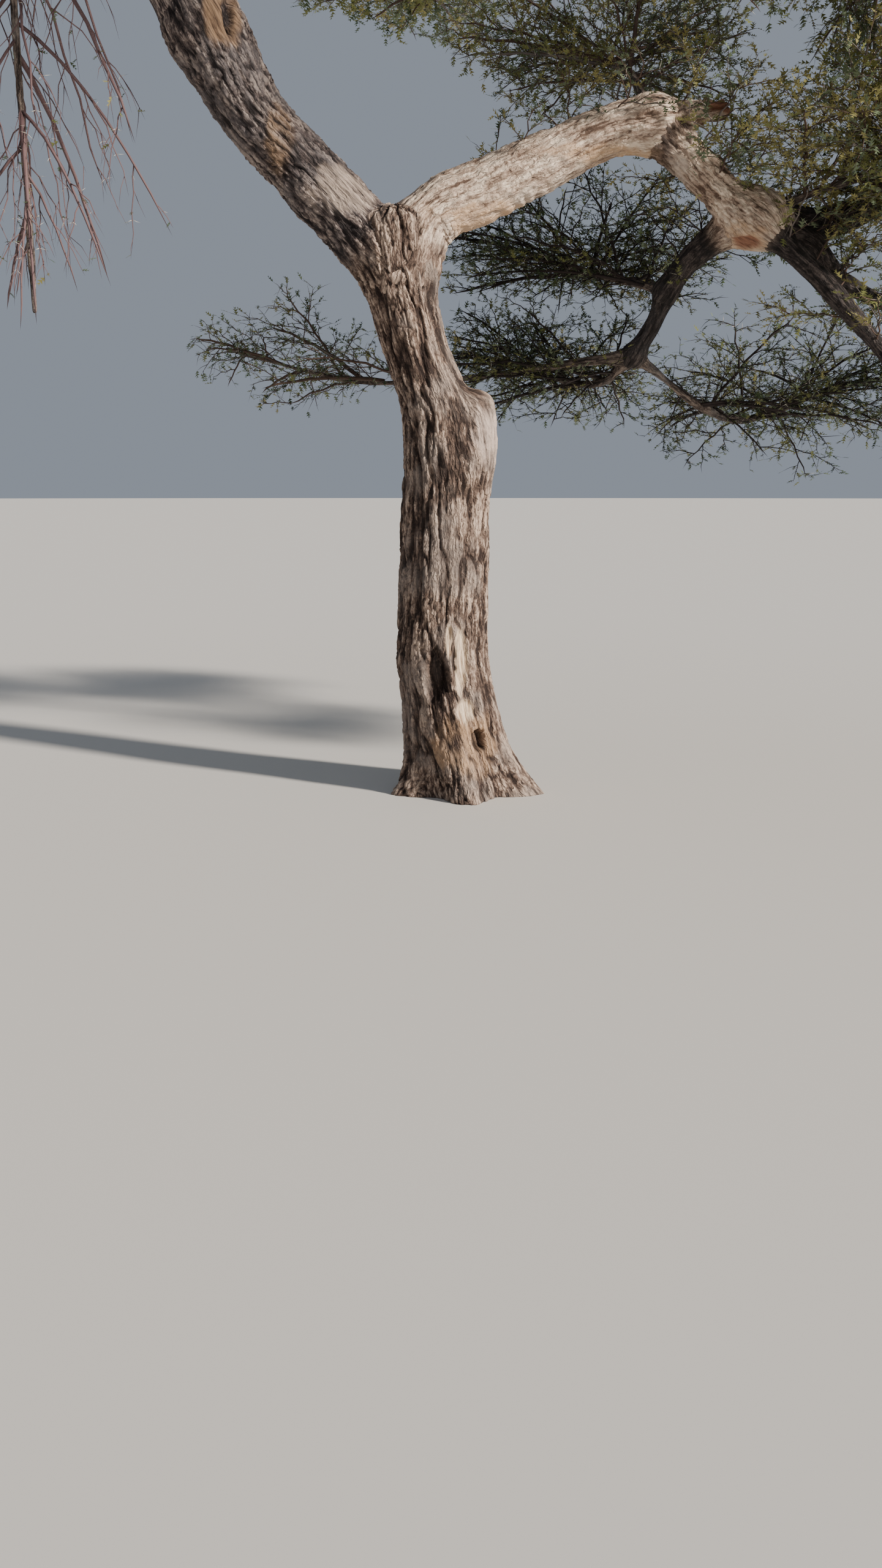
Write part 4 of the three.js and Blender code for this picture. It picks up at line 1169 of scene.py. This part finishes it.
# Twigs that leave their parents by the source's rule: evenly spread with a little chance, turned round by
# the golden angle, opened by an angle, pressed towards level, as long as their room, arched, and bent to
# and fro at their buds. A drooping mass's twigs also fall with the square of the distance along them. Twigs
# on the boughs themselves are loose: they are as long as chance has it, with no mass's space to keep to.
def branchOff(parents, rule, spacing=None, count=None):
    low, high = rule["between"]
    if spacing is None:
        count = count[parents["mass"]]
    else:
        bearing = parents["length"] * (high - low)
        count = np.maximum(1, np.round(bearing / spacing[parents["mass"]])).astype(int)
    which, order, mass, key = childrenOf(parents, count)
    number = key + order
    share = low + (high - low) * (order + chance(mass, number, 1, 0.2, 0.8)) / count[which]
    base, tangent = readPaths(parents["path"][which], share)
    across, other = squareTo(tangent)
    turn = order * goldenAngle + chance(mass, key, 9, 0, 2 * math.pi)
    opened = chance(mass, number, 2, *rule["open"])
    flat = np.where(massHangs[mass], 1, rule["spread"])
    outward = unit(np.cos(turn)[:, None] * across + (flat * np.sin(turn))[:, None] * other)
    direction = np.cos(opened)[:, None] * tangent + np.sin(opened)[:, None] * outward
    direction[:, 2] *= np.where(massHangs[mass], rule["levelHanging"], rule["level"])
    direction[:, 2] += rule["lift"] - massValue("fall")[mass]
    direction = unit(direction)
    longest = rule["longest"] * chance(mass, number, 3, rule["even"], 1.0) * (1 - rule["taper"] * share)
    longest = np.minimum(longest, rule["ofParent"] * parents["length"][which])
    loose = parents["loose"][which]
    room = roomAlong(mass, base, direction, longest, rule["roomStep"])
    room = np.where(loose, longest, room) * rule["fill"]
    keep = (loose | inSpace(mass, base)) & (room >= rule["shortest"])
    kept = (which, mass, number, base, direction, room, loose)
    which, mass, number, base, direction, room, loose = (each[keep] for each in kept)
    t = np.linspace(0, 1, rule["points"])[None, :, None]
    length = room[:, None, None]
    path = base[:, None] + direction[:, None] * length * t
    path = path + up * length * 2 * rule["arch"] * t * (1 - t)
    path = path - up * length * t**2 * (rule["droop"] * massValue("droop")[mass])[:, None, None]
    across, other = squareTo(direction)
    bendWay = chance(mass, number, 4, 0, 2 * math.pi)[:, None]
    sideways = np.cos(bendWay) * across + np.sin(bendWay) * other
    bud = np.arange(rule["points"])
    swing = chance(mass[:, None], number[:, None], 60 + bud[None], 0.3, 1.0) * np.where(bud % 2, 1.0, -1.0)
    swing[:, 0] = 0
    path = path + sideways[:, None] * (rule["zigzag"] * length * swing[:, :, None])
    clear = ~(inWood(path[:, -1]) | inWood(path[:, rule["points"] // 2]))
    made = {
        "path": path, "mass": mass, "key": keyStart + number * keyFactor % keyPrime, "length": room,
        "which": which, "loose": loose,
    }
    made = {label: values[clear] for label, values in made.items()}
    slim = np.clip(0.55 + 0.45 * made["length"] / rule["longest"], 0, 1)[:, None]  # a short twig is slimmer
    thick, thin = rule["radii"]
    made["radii"] = slim * np.linspace(thick, thin, rule["points"])[None]
    return made


# Closed tubes along many paths: rings of a few sides, a cap at the foot, and a point at the tip
def tubesAlong(paths, radii, sides):
    count, points = paths.shape[:2]
    tangent = unit(np.gradient(paths, axis=1))
    main = unit(paths[:, -1] - paths[:, 0])
    pick = np.eye(3)[np.argmin(np.abs(main), axis=1)][:, None]
    across = unit(np.cross(tangent, pick))
    other = np.cross(across, tangent)
    angle = np.arange(sides) * 2 * math.pi / sides
    ring = np.cos(angle)[:, None] * across[:, :-1, None] + np.sin(angle)[:, None] * other[:, :-1, None]
    rings = paths[:, :-1, None] + ring * radii[:, :-1, None, None]
    each = (points - 1) * sides + 1
    places = np.concatenate([rings.reshape(count, -1, 3), paths[:, -1:]], axis=1).reshape(-1, 3)
    index, after, quads = closedGrid(points - 1, sides)
    tips = np.stack([index[-1], after[-1], np.full(sides, each - 1)], axis=1)
    feet = index[:1, ::-1]
    shift = (np.arange(count) * each)[:, None, None]
    faces = [(part + shift).reshape(-1, part.shape[1]) for part in (quads, tips, feet)]
    return places, [part for part in faces if len(part)]


# One leaf: three pairs of leaflet rows swept towards its tip, folded up a little from the middle
leafTemplate = np.array([
    (0, 0, 0), (0.3, 0, 0.01), (0.6, 0, 0.01), (0.84, 0, 0), (0.36, 0.3, 0.06), (0.36, -0.3, 0.06),
    (0.68, 0.34, 0.07), (0.68, -0.34, 0.07), (1, 0.17, 0.03), (1, -0.17, 0.03),
])
leafFaces = np.array([(0, 1, 4), (0, 5, 1), (1, 2, 6), (1, 7, 2), (2, 3, 8), (2, 9, 3)])
# Its place between two buds, its angle from the twig in radians, how freely it rises, how far it rolls, and
# its size against its mass's
leafStance = {"from": 0.6, "lean": (0.45, 1.15), "level": 0.7, "roll": (-0.55, 0.55), "uneven": (0.7, 1.25)}


# Leaves along shoots: each leans from the shoot, turned round it by the golden angle, and lies nearly level
def leavesOn(parents, spray, extra=0):
    spacing = massValue("leaf")[parents["mass"]]
    count = np.maximum(1, np.round(parents["length"] / spacing)).astype(int)
    which, order, mass, key = childrenOf(parents, count)
    key = key + extra
    number = key + order
    keep = chance(mass, number, 21) < massValue("leafy")[mass]
    which, order, mass, key, number = (each[keep] for each in (which, order, mass, key, number))
    share = (order + leafStance["from"]) / count[which]
    root, tangent = readPaths(parents["path"][which], share)
    across, other = squareTo(tangent)
    turn = order * goldenAngle + chance(mass, key, 22, 0, 2 * math.pi)
    lean = chance(mass, number, 23, *leafStance["lean"])
    axis = np.cos(lean)[:, None] * tangent
    axis += (np.sin(lean) * np.cos(turn))[:, None] * across + (np.sin(lean) * np.sin(turn))[:, None] * other
    axis = unit(axis * (1, 1, leafStance["level"]))
    level = unit(np.cross(up, axis) + 1e-6)  # not zero where a leaf points straight up
    level = unit(level + up * chance(mass, number, 24, *leafStance["roll"])[:, None])
    normal = np.cross(axis, level)
    size = massValue("size")[mass] * chance(mass, number, 25, *leafStance["uneven"])
    frameOf = np.stack([axis, level, normal], axis=1) * size[:, None, None]
    places = root[:, None] + np.einsum("tk,nkc->ntc", leafTemplate, frameOf)
    return places, mass, spray[which]


def plainMaterial(name, colour, roughness, specular=0.25):
    material = bpy.data.materials.new(name)
    material.use_nodes = True
    shader = material.node_tree.nodes["Principled BSDF"]
    shader.inputs["Base Color"].default_value = colour
    shader.inputs["Roughness"].default_value = roughness
    shader.inputs["Specular IOR Level"].default_value = specular
    return material


leafMaterials = [
    plainMaterial("leafOlive", tint(104, 108, 62), 0.62),
    plainMaterial("leafGreyGreen", tint(98, 110, 84), 0.66),
    plainMaterial("leafYellowGreen", tint(136, 131, 82), 0.6),
    # Painted shade: a darker copy of the leaf tints, dealt out most in the shade masses
    plainMaterial("leafShaded", tint(66, 80, 52), 0.64),
]
twigMaterials = [
    plainMaterial("twigBrown", tint(84, 68, 60), 0.8),
    plainMaterial("twigGrey", tint(104, 96, 92), 0.82),
    plainMaterial("twigReddish", tint(106, 84, 84), 0.76),
    # Painted shade: the twigs of the masses in shade under the boughs
    plainMaterial("twigShaded", tint(52, 44, 42), 0.8),
]
thornMaterial = plainMaterial("thornWhite", tint(222, 214, 198), 0.5)

# What bears the main twigs: each mass's stem past its collar, and the boughs that have shoots of their own
spines = [alongPath(limbs[name]["path"], np.linspace(collarShare(name), 1, 5)) for name in massNames]
stems = {
    "path": np.array(spines), "mass": np.arange(len(masses)), "key": np.zeros(len(masses), int),
    "length": np.array([pathLength(spine) for spine in spines]), "loose": np.zeros(len(masses), bool),
}
boughLines = {
    "path": np.array([alongPath(limbs[name]["path"], np.linspace(0, 1, 9)) for name in boughShoots]),
    "mass": np.array([massNames.index(massName) for massName, _ in boughShoots.values()]),
    "key": 9000 + 100 * np.arange(len(boughShoots)),  # far from any stem's
    "length": np.array([limbs[name]["length"] for name in boughShoots]),
    "loose": np.ones(len(boughShoots), bool),
}
boughSpacing = np.ones(len(masses))
boughSpacing[boughLines["mass"]] = [spacing for _, spacing in boughShoots.values()]


def joinTwigs(*sets):
    labels = ("path", "mass", "key", "length", "radii", "loose")
    return {label: np.concatenate([each[label] for each in sets]) for label in labels}


keyApart = 500  # between the keys of a stem's main twigs, branches and side twigs
stemSparse = 1.6  # how much farther apart side twigs are on a stem than on a twig
mains = branchOff(stems, twigRules["main"], count=np.full(len(masses), mainsPerMass))
stems["key"] = stems["key"] + keyApart
others = joinTwigs(
    branchOff(stems, twigRules["branch"], count=massValue("branches")),
    branchOff(boughLines, twigRules["bough"], boughSpacing),
)
stems["key"] = stems["key"] + keyApart
sideSpacing = massValue("side")
sides = joinTwigs(
    branchOff(stems, twigRules["side"], sideSpacing * stemSparse),
    branchOff(mains, twigRules["side"], sideSpacing),
    branchOff(others, twigRules["side"], sideSpacing),
)
shoots = branchOff(sides, twigRules["shoot"], massValue("shoot"))
print("twigs:", len(mains["mass"]), "main,", len(others["mass"]), "branches,", len(sides["mass"]), "side,",
      len(shoots["mass"]), "shoots")


# Metres between pairs, length and radius in metres, its place between two buds, how far it leans forward,
# how long it is against its length, and its sides
thornShape = {
    "apart": 0.19, "length": 0.045, "radius": 0.0013, "from": 0.35, "lean": 0.35, "uneven": (0.6, 1.2),
    "sides": 3,
}


# Thorns in pairs at the buds of side twigs, opened to either side
def thornsOn(parents):
    count = np.round(parents["length"] / thornShape["apart"]).astype(int)
    which, order, mass, key = childrenOf(parents, count)
    number = key + order
    base, tangent = readPaths(parents["path"][which], (order + thornShape["from"]) / count[which])
    across, other = squareTo(tangent)
    turn = chance(mass, number, 31, 0, math.pi)[:, None]
    sideways = np.cos(turn) * across + np.sin(turn) * other
    paths = []
    for way in (1, -1):
        direction = unit(sideways * way + thornShape["lean"] * tangent)
        length = chance(mass, number, 32 + way, *thornShape["uneven"])[:, None] * thornShape["length"]
        paths.append(np.stack([base, base + direction * length], axis=1))
    return np.concatenate(paths)


thornPaths = thornsOn(sides)
print("thorns:", len(thornPaths))

# A side twig and its shoots are one spray, with one tint that its mass's mix deals it
mix = massValue("mix")
mix = np.cumsum(mix / mix.sum(axis=1, keepdims=True), axis=1)[sides["mass"]]
sideTint = (chance(sides["mass"], sides["key"], 41)[:, None] > mix).sum(axis=1)
sideTint = np.minimum(sideTint, len(leafMaterials) - 1)
leafSets = [leavesOn(shoots, sideTint[shoots["which"]]), leavesOn(sides, sideTint, extra=5000)]
print("leaves:", sum(len(each[1]) for each in leafSets))

massGroups = {
    "outer_back": [f"outer_mass_{k}" for k in range(1, 7)],
    "outer_front": [f"outer_mass_{k}" for k in range(7, 13)],
    "middle": [f"inner_mass_{k}" for k in range(1, 7)] + ["top_mass"],
    "left": ["bend_mass", "arch_mass", "back_mass", "far_left_mass", "hanging_left_mass"],
    "right": ["right_mass", "right_high_mass", "right_low_mass", "right_far_mass", "under_right_mass",
              "hanging_right_mass"],
}


brownShare = 0.6  # of the twigs whose tint is left to chance; the others are grey


# One piece of the twigs of all levels in a group of masses, each twig with one tint
def makeTwigs(groupName, members):
    points, faces, slots = [], [], []
    count = 0
    for level, twigs in (("main", mains), ("branch", others), ("side", sides), ("shoot", shoots)):
        chosen = np.isin(twigs["mass"], members)
        mass = twigs["mass"][chosen]
        paths, radii = twigs["path"][chosen], twigs["radii"][chosen]
        tubes, tubeFaces = tubesAlong(paths, radii, twigRules[level]["sides"])
        perTwig = len(tubes) // len(mass)
        own = massValue("twigTint")[mass]
        choice = np.where(own < 0, chance(mass, np.arange(len(mass)), 51) > brownShare, own)
        for part in tubeFaces:
            slots.append(choice[part[:, 0] // perTwig])
            faces.append(part + count)
        points.append(tubes)
        count += len(tubes)
    makePiece(f"twigs_{groupName}", np.concatenate(points), faces, twigMaterials,
              massGroups[groupName], faceMaterial=np.concatenate(slots))


# One piece of the leaves in a group of masses, each spray with one tint
def makeLeaves(groupName, members):
    points, faces, slots = [], [], []
    count = 0
    perLeaf = len(leafTemplate)
    for places, mass, spray in leafSets:
        chosen = np.isin(mass, members)
        points.append(places[chosen].reshape(-1, 3))
        kept = (np.arange(chosen.sum()) * perLeaf)[:, None, None] + leafFaces[None]
        faces.append(kept.reshape(-1, 3) + count)
        slots.append(np.repeat(spray[chosen], len(leafFaces)))
        count += chosen.sum() * perLeaf
    makePiece(f"leaves_{groupName}", np.concatenate(points), [np.concatenate(faces)], leafMaterials,
              massGroups[groupName], faceMaterial=np.concatenate(slots), smooth=False)


for groupName, names in massGroups.items():
    groupMasses = [massNames.index(name) for name in names]
    makeTwigs(groupName, groupMasses)
    makeLeaves(groupName, groupMasses)
thornRadii = np.full((len(thornPaths), 2), thornShape["radius"])
thornPoints, thornFaces = tubesAlong(thornPaths, thornRadii, thornShape["sides"])
makePiece("thorns", thornPoints, thornFaces, [thornMaterial], massNames)
print("foliage made")


# The stage, the lights and the camera at the photograph's angle

studio = {
    "floorRadius": 300, "floorSides": 96, "floorBelow": 0.001, "floorTint": (214, 210, 204),
    "floorRough": 0.9, "keyPower": 7.8, "keySoftness": 4.0, "keyBearing": 60, "keyHeight": 22,
    "keyColour": (1.0, 0.93, 0.84), "fill": 0.38, "fillTint": (214, 225, 242),
}
# The sensor in millimetres, its focal length and its height in the photograph's pixels, and degrees down
view = {"sensor": 36, "focal": 2071, "pixels": 2560, "place": (-0.15, -6.8, 1.6), "down": 13}
floorMesh = bpy.data.meshes.new("floor")
ring = np.linspace(0, 2 * math.pi, studio["floorSides"], endpoint=False)
floorPoints = np.stack([np.cos(ring), np.sin(ring), 0 * ring], axis=1) * studio["floorRadius"]
floorPoints[:, 2] = -studio["floorBelow"]
floorMesh.from_pydata(floorPoints.tolist(), [], [list(range(studio["floorSides"]))])
floor = bpy.data.objects.new("floor", floorMesh)
bpy.context.scene.collection.objects.link(floor)
floorLook = plainMaterial("floorMaterial", tint(*studio["floorTint"]), studio["floorRough"], specular=0.5)
floorMesh.materials.append(floorLook)

world = bpy.data.worlds.new("studioWorld")
bpy.context.scene.world = world
world.use_nodes = True
world.node_tree.nodes["Background"].inputs["Color"].default_value = tint(*studio["fillTint"])
world.node_tree.nodes["Background"].inputs["Strength"].default_value = studio["fill"]
keyLight = bpy.data.lights.new("keyLight", "SUN")
keyLight.energy = studio["keyPower"]
keyLight.angle = math.radians(studio["keySoftness"])
keyLight.color = studio["keyColour"]
key = bpy.data.objects.new("keyLight", keyLight)
key.rotation_euler = (math.radians(90 - studio["keyHeight"]), 0, math.radians(studio["keyBearing"]))
bpy.context.scene.collection.objects.link(key)

cameraData = bpy.data.cameras.new("camera")
cameraData.sensor_width = view["sensor"]
cameraData.lens = view["focal"] * view["sensor"] / view["pixels"]
camera = bpy.data.objects.new("camera", cameraData)
camera.location = view["place"]
camera.rotation_euler = (math.radians(90 - view["down"]), 0, 0)
bpy.context.scene.collection.objects.link(camera)
bpy.context.scene.camera = camera
